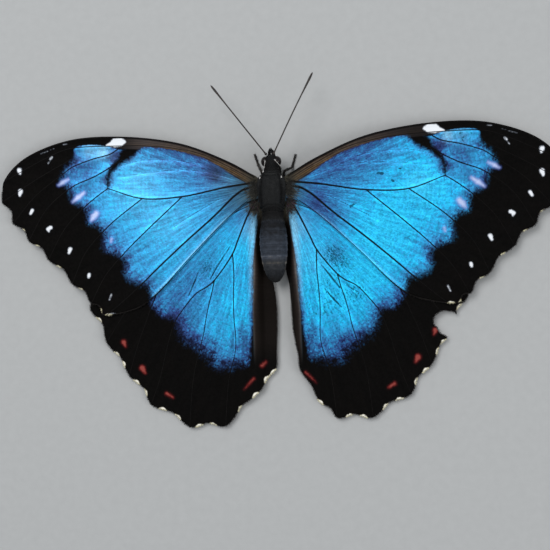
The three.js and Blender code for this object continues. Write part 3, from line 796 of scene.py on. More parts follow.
def under_scales(name):
    """Matt brown scales of the underside, with pale bands, ringed eyespots and lines along the margin."""
    material, tree, shader = new_material(name, **{"Specular IOR Level": .3, "Sheen Weight": .06})
    field = {key: add(tree, FIELD, out="Fac", attribute_name=key) for key in
             ("ocellus", "pale", "edge", "vein")}
    lie = add(tree, FIELD, out="Vector", attribute_name="lie")
    tiles = add(tree, MAPPING, {"Vector": lie, "Scale": SCALE_TILE})
    tile = add(tree, CELLS, {"Vector": tiles, "Scale": 1}, out="Color")
    groove = next(s for s in tile.node.outputs if s.name == "Distance")
    speck = add(tree, "ShaderNodeSeparateColor", {"Color": tile}, out="Red")
    cloud = add(tree, NOISE, {"Vector": lie, "Scale": .4, "Detail": 4})
    ground = add(tree, RAMP, {"Fac": cloud}, out="Color", stops=GROUND_TONES)
    wander = add(tree, MATH, {0: speck, 1: .5, 2: field["pale"]}, operation="MULTIPLY_ADD")
    pale = add(tree, RANGE, {"Value": wander, "From Min": .5, "From Max": .1, "To Max": .8}, **EASED)
    base = add(tree, MIX, {"Factor": pale, "A": ground, "B": "#b9ab8a"}, data_type="RGBA")
    inward = add(tree, MATH, {0: speck, 1: .3, 2: field["edge"]}, operation="MULTIPLY_ADD")
    inward = add(tree, RANGE, {"Value": inward, "From Max": 4})
    lines = add(tree, RAMP, {"Fac": inward}, out="Color", stops=MARGIN_LINES)
    at_margin = add(tree, RANGE, {"Value": inward, "From Min": .75, "From Max": .95, "To Min": 1,
                                  "To Max": 0}, **EASED)
    base = add(tree, MIX, {"Factor": at_margin, "A": base, "B": lines}, data_type="RGBA")
    ringed = add(tree, MATH, {0: speck, 1: .08, 2: field["ocellus"]}, operation="MULTIPLY_ADD")
    ringed = add(tree, RANGE, {"Value": ringed, "From Max": 1.3})
    rings = add(tree, RAMP, {"Fac": ringed}, out="Color", stops=EYESPOT_RINGS)
    in_ring = add(tree, RANGE, {"Value": ringed, "From Min": .9, "From Max": .99, "To Min": 1, "To Max": 0},
                  **EASED)
    base = add(tree, MIX, {"Factor": in_ring, "A": base, "B": rings}, data_type="RGBA")
    lined = add(tree, RANGE, {"Value": field["vein"], "From Min": .25, "From Max": 0, "To Max": .8})
    base = add(tree, MIX, {"Factor": lined, "A": base, "B": "#20150e"}, data_type="RGBA")
    light = add(tree, RANGE, {"Value": speck, "To Min": .78, "To Max": 1.15})
    base = add(tree, MIX, {"Factor": 1, "A": base, "B": light}, data_type="RGBA", blend_type="MULTIPLY")
    rough = add(tree, RANGE, {"Value": speck, "To Min": .6, "To Max": .78})
    bump = add(tree, BUMP, {"Strength": .5, "Distance": .00006, "Height": groove}, invert=True)
    join(tree, shader, Base_Color=base, Roughness=rough, Normal=bump)
    return material


def chitin(name, dark, pale, rough, polish=.3):
    """Insect horn: dark, faintly see-through brown with a low polish, worn lighter in blotches."""
    material, tree, shader = new_material(name, **{"IOR": 1.56, "Specular IOR Level": polish})
    place = add(tree, PLACE, out="Object")
    blotch = add(tree, NOISE, {"Vector": place, "Scale": 900, "Detail": 4})  # blotches about 1 mm across
    pores = add(tree, NOISE, {"Vector": place, "Scale": 7000, "Detail": 2})  # pores of about 0.15 mm
    tone = add(tree, RANGE, {"Value": blotch, "From Min": .35, "From Max": .7})
    base = add(tree, MIX, {"Factor": tone, "A": dark, "B": pale}, data_type="RGBA")
    gloss = add(tree, RANGE, {"Value": pores, "To Min": rough - .12, "To Max": rough + .12})
    bump = add(tree, BUMP, {"Strength": .35, "Distance": .00003, "Height": pores})
    join(tree, shader, Base_Color=base, Roughness=gloss, Normal=bump)
    return material


COSTAL_BAND = [(0, "#060404"), (.13, "#0e0a08"), (.2, "#2a211b"), (.28, "#53463a"), (.35, "#2a201a"),
               (.43, "#5b4c3d"), (.5, "#2a2019"), (.57, "#675239"), (.64, "#2e231a"), (.71, "#55473a"),
               (.79, "#2a2320"), (.86, "#130f0d"), (1, "#0e0c0b")]
# The field beside the abdomen: brown, with painted shade darkest where it lies low in the fold beside the
# body, and a painted highlight of pale grey and blue-grey along the fold's crest next to the blue.
ANAL_FIELD_WITH_PAINTED_SHADE_AND_HIGHLIGHT = [(0, "#0b0908"), (.5, "#110e0c"), (.75, "#1a1512"), (.85, "#2b2422"), (.9, "#4a4443"),
              (.94, "#6e6b69"), (.97, "#5f7482"), (1, "#2a4254")]
LILAC_TONES = [(.1, "#4a62b6"), (.4, "#8092d2"), (.75, "#9eacdc"), (1, "#b4c0e4")]
RED_TONES = [(.2, "#140506"), (.6, "#3c1012"), (.85, "#682220"), (1, "#8a403a")]
FINISHES = {
    "forewing": (upper_scales("forewing_upper_scales", COSTAL_BAND, (0, 2.7), "#3f3a3a", LILAC_TONES, .34),
                 under_scales("forewing_under_scales")),
    "hindwing": (upper_scales("hindwing_upper_scales", ANAL_FIELD_WITH_PAINTED_SHADE_AND_HIGHLIGHT, (-5, .2), "#15110f", RED_TONES, .56),
                 under_scales("hindwing_under_scales")),
}
VEIN = chitin("vein_chitin", "#040303", "#0f0b09", .5, .08)


# ---------------------------------------------------------------- growing what repeats, with Geometry Nodes

def new_tree(name, sizes):
    """An empty geometry tree with named inputs. Gives the tree, its input node and its output node."""
    tree = bpy.data.node_groups.new(name, "GeometryNodeTree")
    tree.interface.new_socket("Geometry", in_out="INPUT", socket_type="NodeSocketGeometry")
    for size in sizes:
        kind = "NodeSocketInt" if size in ("Seed", "Sides") else "NodeSocketFloat"
        tree.interface.new_socket(size, in_out="INPUT", socket_type=kind)
    tree.interface.new_socket("Geometry", in_out="OUTPUT", socket_type="NodeSocketGeometry")
    given = tree.nodes.new("NodeGroupInput").outputs
    return tree, given, tree.nodes.new("NodeGroupOutput").inputs["Geometry"]


def close_tree(tree, geometry, material, result):
    """Ends a tree with real geometry that wears the material."""
    real = add(tree, "GeometryNodeRealizeInstances", {"Geometry": geometry})
    tree.links.new(add(tree, "GeometryNodeSetMaterial", {"Geometry": real, "Material": material}), result)


def grow(name, tree, source, **sizes):
    """Runs a tree on a source object once and keeps the mesh as a new piece. The source goes."""
    modifier = source.modifiers.new("grow", "NODES")
    modifier.node_group = tree
    for item in tree.interface.items_tree:
        if item.in_out == "INPUT" and item.name in sizes:
            modifier[item.identifier] = sizes[item.name]
    depsgraph = bpy.context.evaluated_depsgraph_get()
    mesh = bpy.data.meshes.new_from_object(source.evaluated_get(depsgraph), depsgraph=depsgraph,
                                           preserve_all_data_layers=True)
    source.modifiers.remove(modifier)
    bpy.data.objects.remove(source)
    mesh.name = name
    mesh.polygons.foreach_set("use_smooth", [True] * len(mesh.polygons))
    return shown(name, mesh)


def path_tree(name, material):
    """Round tubes along a mesh's edges. The half width at each point is the field "thick", in metres."""
    tree, given, result = new_tree(name, ["Sides"])
    line = add(tree, "GeometryNodeMeshToCurve", {"Mesh": given["Geometry"]})
    ring = add(tree, "GeometryNodeCurvePrimitiveCircle", {"Resolution": given["Sides"], "Radius": 1},
               out="Curve")
    thick = add(tree, "GeometryNodeInputNamedAttribute", {"Name": "thick"}, out="Attribute",
                data_type="FLOAT")
    tube = add(tree, "GeometryNodeCurveToMesh", {"Curve": line, "Profile Curve": ring, "Scale": thick,
                                                 "Fill Caps": True})
    close_tree(tree, tube, material, result)
    return tree


def lines_object(name, lines, mirror=1):
    """Separate polylines as one mesh of edges, each point (x, y, z, half width) in millimetres."""
    points = np.vstack(lines)
    mesh = bpy.data.meshes.new(name)
    edges, first = [], 0
    for line in lines:
        edges += [(first + i, first + i + 1) for i in range(len(line) - 1)]
        first += len(line)
    mesh.from_pydata(metres(points[:, :3] * (mirror, 1, 1)).tolist(), edges, [])
    thick = (points[:, 3] * MM).astype(np.float32)
    mesh.attributes.new("thick", "FLOAT", "POINT").data.foreach_set("value", thick)
    return shown(name, mesh)


VEIN_TREE = path_tree("wing_veins", VEIN)
TUBE_SIDES = 7


# ---------------------------------------------------------------- the wings

def inset_outline(wing):
    """The membrane's own edge: the outline drawn in by the fringe, but not along the leading edge."""
    outline = wing.outline
    ahead, behind = np.roll(outline, -1, axis=0), np.roll(outline, 1, axis=0)
    way = (ahead - behind) / np.linalg.norm(ahead - behind, axis=1)[:, None]
    inward = np.stack([way[:, 1], -way[:, 0]], 1)
    area = np.sum(outline[:, 0] * ahead[:, 1] - ahead[:, 0] * outline[:, 1]) / 2
    inward *= -1 if area > 0 else 1
    from_front = off_line(outline, spline(wing.plan["front"], step=1))
    from_root = np.linalg.norm(outline - wing.root, axis=1)
    drawn_in = FRINGE * smooth(.4, 2, from_front) * smooth(*wing.plan["fringe_starts"], from_root)
    to_notch = np.min([np.linalg.norm(outline - notch, axis=1) for notch in wing.notches], axis=0)
    notch = NOTCH * np.exp(-(to_notch / 1.3) ** 2)
    return outline + inward * (drawn_in + notch)[:, None], -inward, drawn_in


def wing_mesh(rim):
    """A flat mesh of even triangles in a closed rim, all turned up. Its first points are the rim's own."""
    low, high = rim.min(0), rim.max(0)
    columns = np.arange(low[0], high[0], WING_GRAIN)
    rows = np.arange(low[1], high[1], WING_GRAIN * .866)  # the height of a triangle with even sides
    xs, ys = np.meshgrid(columns, rows)
    xs[1::2] += WING_GRAIN / 2
    inner = np.stack([xs.ravel(), ys.ravel()], 1)
    inner = inner[inside_by(inner, rim) > WING_GRAIN * .55]
    places = [Vector(place) for place in np.vstack([rim, inner])]
    drawn = delaunay_2d_cdt(places, [], [list(range(len(rim)))], 1, 1e-6)
    at = np.array([tuple(place) for place in drawn[0]])
    faces = [tuple(face) for face in drawn[2]]
    a, b, c = (at[i] for i in faces[0])
    if (b[0] - a[0]) * (c[1] - a[1]) < (b[1] - a[1]) * (c[0] - a[0]):
        faces = [face[::-1] for face in faces]
    return at, faces


def unwrap_sheets(piece, at, rim):
    """The upper sheet's unwrap fills the lower half of the map, and the under sheet's the upper half."""
    low, high = rim.min(0), rim.max(0)
    share = (at - low) / (high - low) * .98 + .01
    corners = np.zeros(len(piece.data.loops), int)
    piece.data.loops.foreach_get("vertex_index", corners)
    sheet = (corners >= len(at)).astype(float)
    unwrap = share[corners % len(at)] * (1, .5) + np.column_stack([np.zeros(len(corners)), sheet * .5])
    piece.data.uv_layers.new(name="OFBake").data.foreach_set("uv", unwrap.ravel())


def wing_piece(wing):
    """The membrane with its scales: an upper and an under sheet that meet along a thin rim."""
    rim, _, _ = inset_outline(wing)
    at, upper = wing_mesh(rim)
    count = len(at)
    middle = wing.height(at[:, 0], at[:, 1]) + wing.relief(at)
    half = MEMBRANE / 2 * (.35 + .65 * smooth(0, .8, inside_by(at, rim)))
    points = np.vstack([np.column_stack([at, middle + half]), np.column_stack([at, middle - half])])
    faces = upper + [tuple(i + count for i in reversed(face)) for face in upper]
    sheet_edges = {(face[i], face[(i + 1) % 3]) for face in upper for i in range(3)}
    for i in range(len(rim)):
        j = (i + 1) % len(rim)
        start, end = (j, i) if (i, j) in sheet_edges else (i, j)
        faces.append((start, end, end + count, start + count))
    fields = {key: np.concatenate([values, values]) for key, values in wing.fields(at).items()}
    piece = new_object(f"{wing.kind}_{wing.side}_scales", points, faces, fields, wing.mirror)
    for material in FINISHES[wing.kind]:
        piece.data.materials.append(material)
    below = np.zeros(len(faces), int)
    below[len(upper):2 * len(upper)] = 1
    piece.data.polygons.foreach_set("material_index", below)
    unwrap_sheets(piece, at, rim)
    return finish_piece(piece, f"{wing.kind}_scales", f"{wing.kind}_{wing.side}")


def vein_piece(wing):
    """The veins, tubes that stand a little proud of the membrane on both sides."""
    lines = []
    for vein in wing.veins:
        at = vein[:, :2]
        on_wing = inside_by(at, wing.outline) > .1
        at, half = at[on_wing], vein[on_wing, 2]
        height = wing.height(at[:, 0], at[:, 1]) + wing.relief(at) + .06
        lines.append(np.column_stack([at, height, .02 + half * .54]))
    source = lines_object("veins", lines, wing.mirror)
    piece = grow(f"{wing.kind}_{wing.side}_veins", VEIN_TREE, source, Sides=TUBE_SIDES)
    return finish_piece(piece, "chitin")


WINGS = [Wing(kind, side) for kind in ("forewing", "hindwing") for side in SIDES]
for wing in WINGS:
    wing_piece(wing)
    vein_piece(wing)


# ---------------------------------------------------------------- hair and body finishes

BODY_TONES = [(0, "#040404"), (.25, "#0c0c0d"), (.45, "#161718"), (.6, "#2b2c2c"), (.75, "#625c54"),
              (.9, "#c9c6c3"), (1, "#efecec")]
ABDOMEN_TONES = [(0, "#060607"), (.2, "#15171b"), (.42, "#343a44"), (.6, "#535863"), (.75, "#85837f"),
                 (1, "#c9c4ba")]
# Olive and grey up to .66, then the wine and violet that a few hairs have.
WING_ROOT_TONES = [(0, "#0a0908"), (.22, "#191816"), (.38, "#2f2d28"), (.52, "#4a4b45"), (.66, "#686559"),
                   (.78, "#5a2529"), (.9, "#433665"), (1, "#8c7c68")]
FRINGE_TONES = [(0, "#0a0807"), (.4, "#1c1613"), (.6, "#6b604c"), (.8, "#cfc8a4"), (1, "#e6e0c4")]


def body_colour(tree, tones, rear_tones=None, wander=.3):
    """The body's own tone, which skin and hair share, so that no bare skin shows between the hairs."""
    shade = add(tree, FIELD, out="Fac", attribute_name="shade")
    place = add(tree, PLACE, out="Object")
    blotch = add(tree, NOISE, {"Vector": place, "Scale": 1500, "Detail": 3})  # blotches of 0.6 mm
    tone = add(tree, MATH, {0: blotch, 1: wander, 2: shade}, operation="MULTIPLY_ADD")
    tone = add(tree, MATH, {0: tone, 1: wander / 2}, operation="SUBTRACT")
    base = add(tree, RAMP, {"Fac": tone}, out="Color", stops=tones)
    if rear_tones:
        rear = add(tree, FIELD, out="Fac", attribute_name="rear")
        behind = add(tree, RAMP, {"Fac": tone}, out="Color", stops=rear_tones)
        base = add(tree, MIX, {"Factor": rear, "A": base, "B": behind}, data_type="RGBA")
    return base, blotch, place


def skin_finish(name):
    """Dull dark skin under the coat, with the coat's own tones and the fine pits its hairs stand in."""
    material, tree, shader = new_material(name, **{"Specular IOR Level": .14})
    base, blotch, place = body_colour(tree, BODY_TONES, ABDOMEN_TONES)
    pits = add(tree, CELLS, {"Vector": place, "Scale": 9000}, out="Distance")  # 0.1 mm apart
    rough = add(tree, RANGE, {"Value": blotch, "To Min": .6, "To Max": .8})
    bump = add(tree, BUMP, {"Strength": .6, "Distance": .00006, "Height": pits}, invert=True)
    join(tree, shader, Base_Color=base, Roughness=rough, Normal=bump)
    return material


def hair_finish(name, tones, rear_tones=None, gloss=.55):
    """Hairs and hair scales, darker at the root and lighter towards the tip."""
    material, tree, shader = new_material(name, **{"Specular IOR Level": .16, "Sheen Weight": .03})
    base, blotch, _ = body_colour(tree, tones, rear_tones)
    along = add(tree, FIELD, out="Fac", attribute_name="along")
    chance = add(tree, FIELD, out="Fac", attribute_name="chance")
    light = add(tree, MATH, {0: along, 1: .55, 2: .5}, operation="MULTIPLY_ADD")
    light = add(tree, MATH, {0: chance, 1: .5, 2: light}, operation="MULTIPLY_ADD")
    base = add(tree, MIX, {"Factor": 1, "A": base, "B": light}, data_type="RGBA", blend_type="MULTIPLY")
    rough = add(tree, MATH, {0: chance, 1: .2, 2: gloss}, operation="MULTIPLY_ADD")
    bump = add(tree, BUMP, {"Strength": .2, "Distance": .00003, "Height": blotch})
    join(tree, shader, Base_Color=base, Roughness=rough, Normal=bump)
    return material


def eye_finish(name):
    """A compound eye: glossy black-brown, with faint mottles and thousands of tiny lenses."""
    material, tree, shader = new_material(name, **{"IOR": 1.5, "Coat Weight": .12, "Coat Roughness": .14,
                                                   "Specular IOR Level": .18})
    place = add(tree, PLACE, out="Object")
    mottle = add(tree, NOISE, {"Vector": place, "Scale": 1800, "Detail": 3})  # mottles of about 0.5 mm
    base = add(tree, RAMP, {"Fac": mottle}, out="Color",
               stops=[(.3, "#040303"), (.55, "#0c0706"), (.75, "#20130c")])
    lens = add(tree, CELLS, {"Vector": place, "Scale": 22000, "Randomness": .15},
               out="Distance")  # lenses of about 0.045 mm
    rough = add(tree, RANGE, {"Value": mottle, "To Min": .18, "To Max": .34})
    bump = add(tree, BUMP, {"Strength": .25, "Distance": .00002, "Height": lens}, invert=True)
    join(tree, shader, Base_Color=base, Roughness=rough, Normal=bump)
    return material


SKIN = skin_finish("dark_scaled_skin")
BODY_HAIR = hair_finish("body_hair", BODY_TONES, ABDOMEN_TONES)
ROOT_HAIR = hair_finish("wing_root_hair", WING_ROOT_TONES)
FRINGE_HAIR = hair_finish("fringe_scales", FRINGE_TONES, gloss=.65)
EYE_GLOSS = eye_finish("compound_eye")
HORN = chitin("horn", "#0c0908", "#2a1d16", .38)


# ---------------------------------------------------------------- tufts

TUFT_PATCH = .003  # how large a tuft's own patch is on the skin's unwrap


def tuft_tree(name, material, on_faces, segments=3, flat=.45, curl=-1.2):
    """Tapering blades that stand at points of a mesh. Their field "lie" holds which way and how far they
    reach, "up" the skin's own way up, "wide" their half width and "lush" how thick they stand."""
    sizes = ["Spread", "Seed"]
    if on_faces:
        sizes.append("Per square metre")
    tree, given, result = new_tree(name, sizes)
    kinds = {"wide": "FLOAT", "lie": "FLOAT_VECTOR", "up": "FLOAT_VECTOR", "root": "FLOAT_VECTOR",
             "blade": "FLOAT_VECTOR"}
    if on_faces:
        kinds.update(lush="FLOAT", OFBake="FLOAT_VECTOR")
    kept = {}
    for key, kind in kinds.items():
        kept[key] = add(tree, "GeometryNodeInputNamedAttribute", {"Name": key}, out="Attribute",
                        data_type=kind)
    if on_faces:
        crowd = add(tree, MATH, {0: given["Per square metre"], 1: kept["lush"]}, operation="MULTIPLY")
        points = add(tree, "GeometryNodeDistributePointsOnFaces",
                     {"Mesh": given["Geometry"], "Density": crowd, "Seed": given["Seed"]}, out="Points")
        points = add(tree, STORE, {"Geometry": points, "Name": "root", "Value": kept["OFBake"]},
                     data_type="FLOAT_VECTOR", domain="POINT")
    else:
        points = add(tree, "GeometryNodeMeshToPoints", {"Mesh": given["Geometry"]})
    chance = add(tree, "FunctionNodeRandomValue", {"Seed": given["Seed"]}, out="Value", data_type="FLOAT")
    points = add(tree, STORE,
                 {"Geometry": points, "Name": "chance", "Value": chance}, data_type="FLOAT", domain="POINT")
    reach = add(tree, VECTOR, {0: kept["lie"]}, out="Value", operation="LENGTH")
    sway = add(tree, "FunctionNodeRandomValue",
               {"Min": (-1, -1, -1), "Max": (1, 1, 1), "Seed": given["Seed"]},
               out="Value", data_type="FLOAT_VECTOR")
    amount = add(tree, MATH, {0: reach, 1: given["Spread"]}, operation="MULTIPLY")
    sway = add(tree, VECTOR, {0: sway, "Scale": amount}, operation="SCALE")
    way = add(tree, VECTOR, {0: kept["lie"], 1: sway}, operation="ADD")
    turn = add(tree, "FunctionNodeAxesToRotation", {"Primary Axis": way, "Secondary Axis": kept["up"]},
               primary_axis="Z", secondary_axis="X")
    length = add(tree, MATH, {0: chance, 1: .55, 2: .68}, operation="MULTIPLY_ADD")
    length = add(tree, MATH, {0: length, 1: reach}, operation="MULTIPLY")
    size = add(tree, "ShaderNodeCombineXYZ", {"X": kept["wide"], "Y": kept["wide"], "Z": length})

    cone = add(tree, "GeometryNodeMeshCone", {"Vertices": 3, "Side Segments": segments, "Fill Segments": 1,
                                              "Radius Top": 0, "Radius Bottom": 1, "Depth": 1}, out="Mesh")
    unwrap = next(s for s in cone.node.outputs if s.name == "UV Map")
    blade = add(tree, STORE, {"Geometry": cone, "Name": "blade", "Value": unwrap},
                data_type="FLOAT_VECTOR", domain="CORNER")
    at = add(tree, "GeometryNodeInputPosition")
    split = add(tree, "ShaderNodeSeparateXYZ", {"Vector": at}, out="X")
    y, z = (next(s for s in split.node.outputs if s.name == axis) for axis in "YZ")
    blade = add(tree, STORE, {"Geometry": blade, "Name": "along", "Value": z},
                data_type="FLOAT", domain="POINT")
    swell = add(tree, MATH, {0: z, 1: 1.6, 2: 1}, operation="MULTIPLY_ADD")
    bend = add(tree, MATH, {0: z, 1: z}, operation="MULTIPLY")
    bend = add(tree, MATH, {0: bend, 1: curl}, operation="MULTIPLY")
    thin = add(tree, MATH, {0: split, 1: flat}, operation="MULTIPLY")
    thin = add(tree, MATH, {0: thin, 1: swell, 2: bend}, operation="MULTIPLY_ADD")
    broad = add(tree, MATH, {0: y, 1: swell}, operation="MULTIPLY")
    shaped = add(tree, "ShaderNodeCombineXYZ", {"X": thin, "Y": broad, "Z": z})
    blade = add(tree, "GeometryNodeSetPosition", {"Geometry": blade, "Position": shaped})

    stood = add(tree, "GeometryNodeInstanceOnPoints", {"Points": points, "Instance": blade, "Rotation": turn,
                                                       "Scale": size})
    real = add(tree, "GeometryNodeRealizeInstances", {"Geometry": stood})
    patch = add(tree, VECTOR, {0: kept["blade"], "Scale": TUFT_PATCH}, operation="SCALE")
    patch = add(tree, VECTOR, {0: kept["root"], 1: patch}, operation="ADD")
    mapped = add(tree, STORE,
                 {"Geometry": real, "Name": "OFBake", "Value": patch}, data_type="FLOAT2", domain="CORNER")
    close_tree(tree, mapped, material, result)
    return tree


def tufts(name, tree, source, slot, **sizes):
    """Grows tufts on a source, drops the fields only the growing needed, and keeps the piece."""
    piece = grow(name, tree, source, **sizes)
    for field in ("root", "blade", "lie", "up", "lush", "wide"):
        if field in piece.data.attributes:
            piece.data.attributes.remove(piece.data.attributes[field])
    return finish_piece(piece, slot)


def tuft_roots(name, at, lie, up, wide, shade, root, mirror=1):
    """Bare points for tufts to stand on, in millimetres, for places where a skin has no faces of its own.
    root is each tuft's place on the unwrap."""
    turned = np.array((mirror, 1, 1))
    fields = {"lie": lie * turned * MM, "up": up * turned, "wide": wide * MM, "shade": shade,
              "root": np.column_stack([root, np.zeros(len(root))])}
    return new_object(name, at, [], fields, mirror)


SKIN_TUFTS = tuft_tree("skin_tufts", BODY_HAIR, True)
FLAT_TUFTS = tuft_tree("flat_tufts", BODY_HAIR, True, segments=2, flat=.3, curl=-.6)
ROOT_TUFTS = tuft_tree("wing_root_tufts", ROOT_HAIR, False)
FRINGE_TUFTS = tuft_tree("fringe_tufts", FRINGE_HAIR, False, segments=2, flat=.35, curl=0)
BROW_TUFTS = tuft_tree("brow_tufts", BODY_HAIR, False, segments=2, flat=.4)
LEG_TUFTS = tuft_tree("leg_tufts", BODY_HAIR, False, segments=2, flat=.6)


FRINGE_STEP = .07  # from one fringe scale to the next
FRINGE_ROOT = .12  # how far inside the margin they are rooted


def fringe_piece(wing):
    """Scales that stand out past the membrane's edge, dark, and cream in the notches between the veins."""
    rng = np.random.default_rng(11)
    rim, outward, drawn_in = inset_outline(wing)
    run = np.concatenate([[0], np.cumsum(np.linalg.norm(np.diff(rim, axis=0), axis=1))])
    marks = np.arange(0, run[-1], FRINGE_STEP)
    marks = marks + rng.uniform(-.02, .02, len(marks))
    at = np.column_stack([np.interp(marks, run, axis) for axis in rim.T])
    way = np.column_stack([np.interp(marks, run, axis) for axis in outward.T])
    reach = np.interp(marks, run, drawn_in)
    keep = reach > .12
    at, way, reach = at[keep], way[keep], reach[keep]
    pale = smooth(.3, 0, off_strokes(at, wing.lunules))
    height = wing.height(*at.T) + wing.relief(at)
    shade = np.clip(.2 + .65 * pale + rng.normal(0, .06, len(at)), 0, 1)
    low, high = rim.min(0), rim.max(0)
    share = (at - low) / (high - low) * .96 + .02
    away = rng.normal(0, .12, len(at))
    lie = np.column_stack([way[:, 0] - away * way[:, 1], way[:, 1] + away * way[:, 0],
                           rng.normal(0, .06, len(at))])
    lie *= (reach * rng.uniform(.95, 1.25, len(at)) + FRINGE_ROOT)[:, None]
    up = np.tile((0, 0, 1.), (len(at), 1))
    wide = rng.uniform(.035, .06, len(at))
    rooted = np.column_stack([at - way * FRINGE_ROOT, height])
    roots = tuft_roots("fringe", rooted, lie, up, wide, shade, share, wing.mirror)
    return tufts(f"{wing.kind}_{wing.side}_fringe", FRINGE_TUFTS, roots, f"{wing.kind}_scales",
                 Spread=.06, Seed=4)


ROOT_HAIRS = 1500  # drawn for each wing, of which about half fall on it
WINE_AT = (4.1, -2.5)  # the middle of the spot where wine and violet hairs stand


def wing_root_piece(wing):
    """Long soft hair over the wing's root, olive and grey, with a few wine and violet hairs behind."""
    rng = np.random.default_rng(23)
    fore = wing.kind == "forewing"
    way = rng.uniform(-.95, .2, ROOT_HAIRS) if fore else rng.uniform(-1.7, -.35, ROOT_HAIRS)
    reach = rng.gamma(1.4, .85, ROOT_HAIRS)
    middle = wing.root + (.1, -.3 if fore else 0)
    at = middle + np.column_stack([np.cos(way), np.sin(way)]) * reach[:, None]
    at[:, 1] += rng.normal(0, .8, ROOT_HAIRS)
    keep = (inside_by(at, wing.outline) > .02) & (rng.uniform(0, 1, ROOT_HAIRS) < 1.1 * smooth(5, .6, reach))
    at, way, reach = at[keep], way[keep], reach[keep]
    height = wing.height(*at.T) + wing.relief(at) + MEMBRANE / 2
    turn = way * .85 - .08 + rng.normal(0, .16, len(at))
    long = rng.uniform(.5, 1.05, len(at)) * (.35 + .65 * smooth(6, 1, reach))
    lie = np.column_stack([np.cos(turn), np.sin(turn), rng.uniform(0, .07, len(at))]) * long[:, None]
    up = np.tile((0, 0, 1.), (len(at), 1))
    shade = .25 + .24 * smooth(.3, 2.6, reach) + rng.normal(0, .12, len(at))
    shade = np.minimum(shade, .6)
    luck = rng.uniform(0, 1, len(at))
    wine = np.exp(-np.sum((at - WINE_AT) ** 2, axis=1) / 1.4) * (.15 if wing.side == "right" else .04)
    shade = np.where(luck < wine, .79, np.where(luck > 1 - .7 * wine, .9, shade))
    low, high = wing.outline.min(0), wing.outline.max(0)
    share = (at - low) / (high - low) * .96 + .02
    roots = tuft_roots("wing_root", np.column_stack([at, height]), lie, up, np.full(len(at), .028), shade,
                       share, wing.mirror)
    return tufts(f"{wing.kind}_{wing.side}_root_hair", ROOT_TUFTS, roots, "body_hair", Spread=.1, Seed=6)


for wing in WINGS:
    fringe_piece(wing)
    wing_root_piece(wing)


# ---------------------------------------------------------------- the body

# From the face to the tail: (ahead, half width, middle height, half height).
HEAD_STATIONS = [
    (8.02, .2, 4.95, .25), (7.88, .75, 4.98, .85), (7.5, 1.08, 5, 1.2), (6.9, 1.28, 5.05, 1.4),
    (6.3, 1.3, 5.05, 1.42), (5.8, 1.28, 5.05, 1.3), (5.3, 1.3, 5.02, 1.12)]
THORAX_STATIONS = [
    (4.95, 1.4, 5, 1.2), (4.7, 1.52, 5.05, 1.34), (4.3, 1.72, 5.1, 1.58), (3.7, 1.95, 5.15, 1.78),
    (3, 2.25, 5.2, 2.05), (2, 2.56, 5.2, 2.45), (.65, 2.8, 5.2, 2.72), (-.9, 2.78, 5.2, 2.68),
    (-2.4, 2.45, 5.2, 2.35), (-3.5, 2.15, 5.15, 1.95), (-4.4, 2, 5.1, 1.7), (-5, 2, 5.08, 1.65)]
ABDOMEN_STATIONS = [
    (-5.7, 2.15, 5.05, 1.85), (-6.5, 2.42, 5, 2.1), (-8, 2.74, 4.9, 2.38), (-9.5, 2.9, 4.75, 2.48),
    (-11, 2.92, 4.55, 2.5), (-12.5, 2.86, 4.35, 2.46), (-14, 2.68, 4.15, 2.26), (-15.5, 2.42, 3.9, 1.95),
    (-16.8, 2.06, 3.65, 1.6), (-17.8, 1.62, 3.5, 1.2), (-18.4, 1.2, 3.4, .88), (-18.8, .76, 3.35, .52),
    (-18.98, .22, 3.33, .16)]
RING_EDGES = [-6.5, -8, -9.5, -11, -12.3, -13.6, -15, -16.3, -17.4]  # where each ring of the abdomen ends
AROUND = 84  # points around the body
SQUARENESS = 2.2  # 2 would make each section an ellipse


def body_relief(ahead, turn):
    """How much the skin stands in or out, in millimetres: plates, seams, collar and the abdomen's rings."""
    side = np.cos(turn)
    top = np.maximum(np.sin(turn), 0)
    # The seam down the back, the seam across behind it, and the waist.
    relief = -.14 * np.exp(-(side / .09) ** 2) * top * smooth(-2.4, -1, ahead) * smooth(3.6, 2.6, ahead)
    relief -= .2 * np.exp(-((ahead + 2.7 + .5 * side ** 2) / .16) ** 2) * smooth(0, .4, top)
    relief -= .16 * np.exp(-((ahead + 3.9) / .14) ** 2)
    # The collar's pleats, the grooves beside the back's plate, its two shoulders, and the head's furrow.
    for pleat in (3.45, 4.05, 4.6):
        relief -= .14 * np.exp(-((ahead - pleat - .3 * side ** 2) / .11) ** 2) * smooth(0, .3, top)
    groove = .18 * np.exp(-((np.abs(side) - .77) / .05) ** 2) * smooth(0, .3, top)
    relief -= groove * smooth(-3, -2, ahead) * smooth(3.8, 3, ahead)
    shoulder = ((ahead - 4.1) / .3) ** 2 + ((np.abs(side) - .45) / .3) ** 2
    relief += .16 * np.exp(-shoulder) * smooth(0, .4, top)
    relief -= .12 * np.exp(-((ahead - 6.7) / .9) ** 2 - (side / .16) ** 2) * top
    # Each ring of the abdomen swells towards its rear edge and steps down to the next.
    edges = np.array([-5.2, *RING_EDGES])
    for front, back in zip(edges, edges[1:]):
        share = (front - ahead) / (front - back)
        within = (share >= 0) & (share < 1)
        relief += np.where(within, .09 * np.clip(share, 0, 1) ** 1.4 - .03, 0)
    return relief


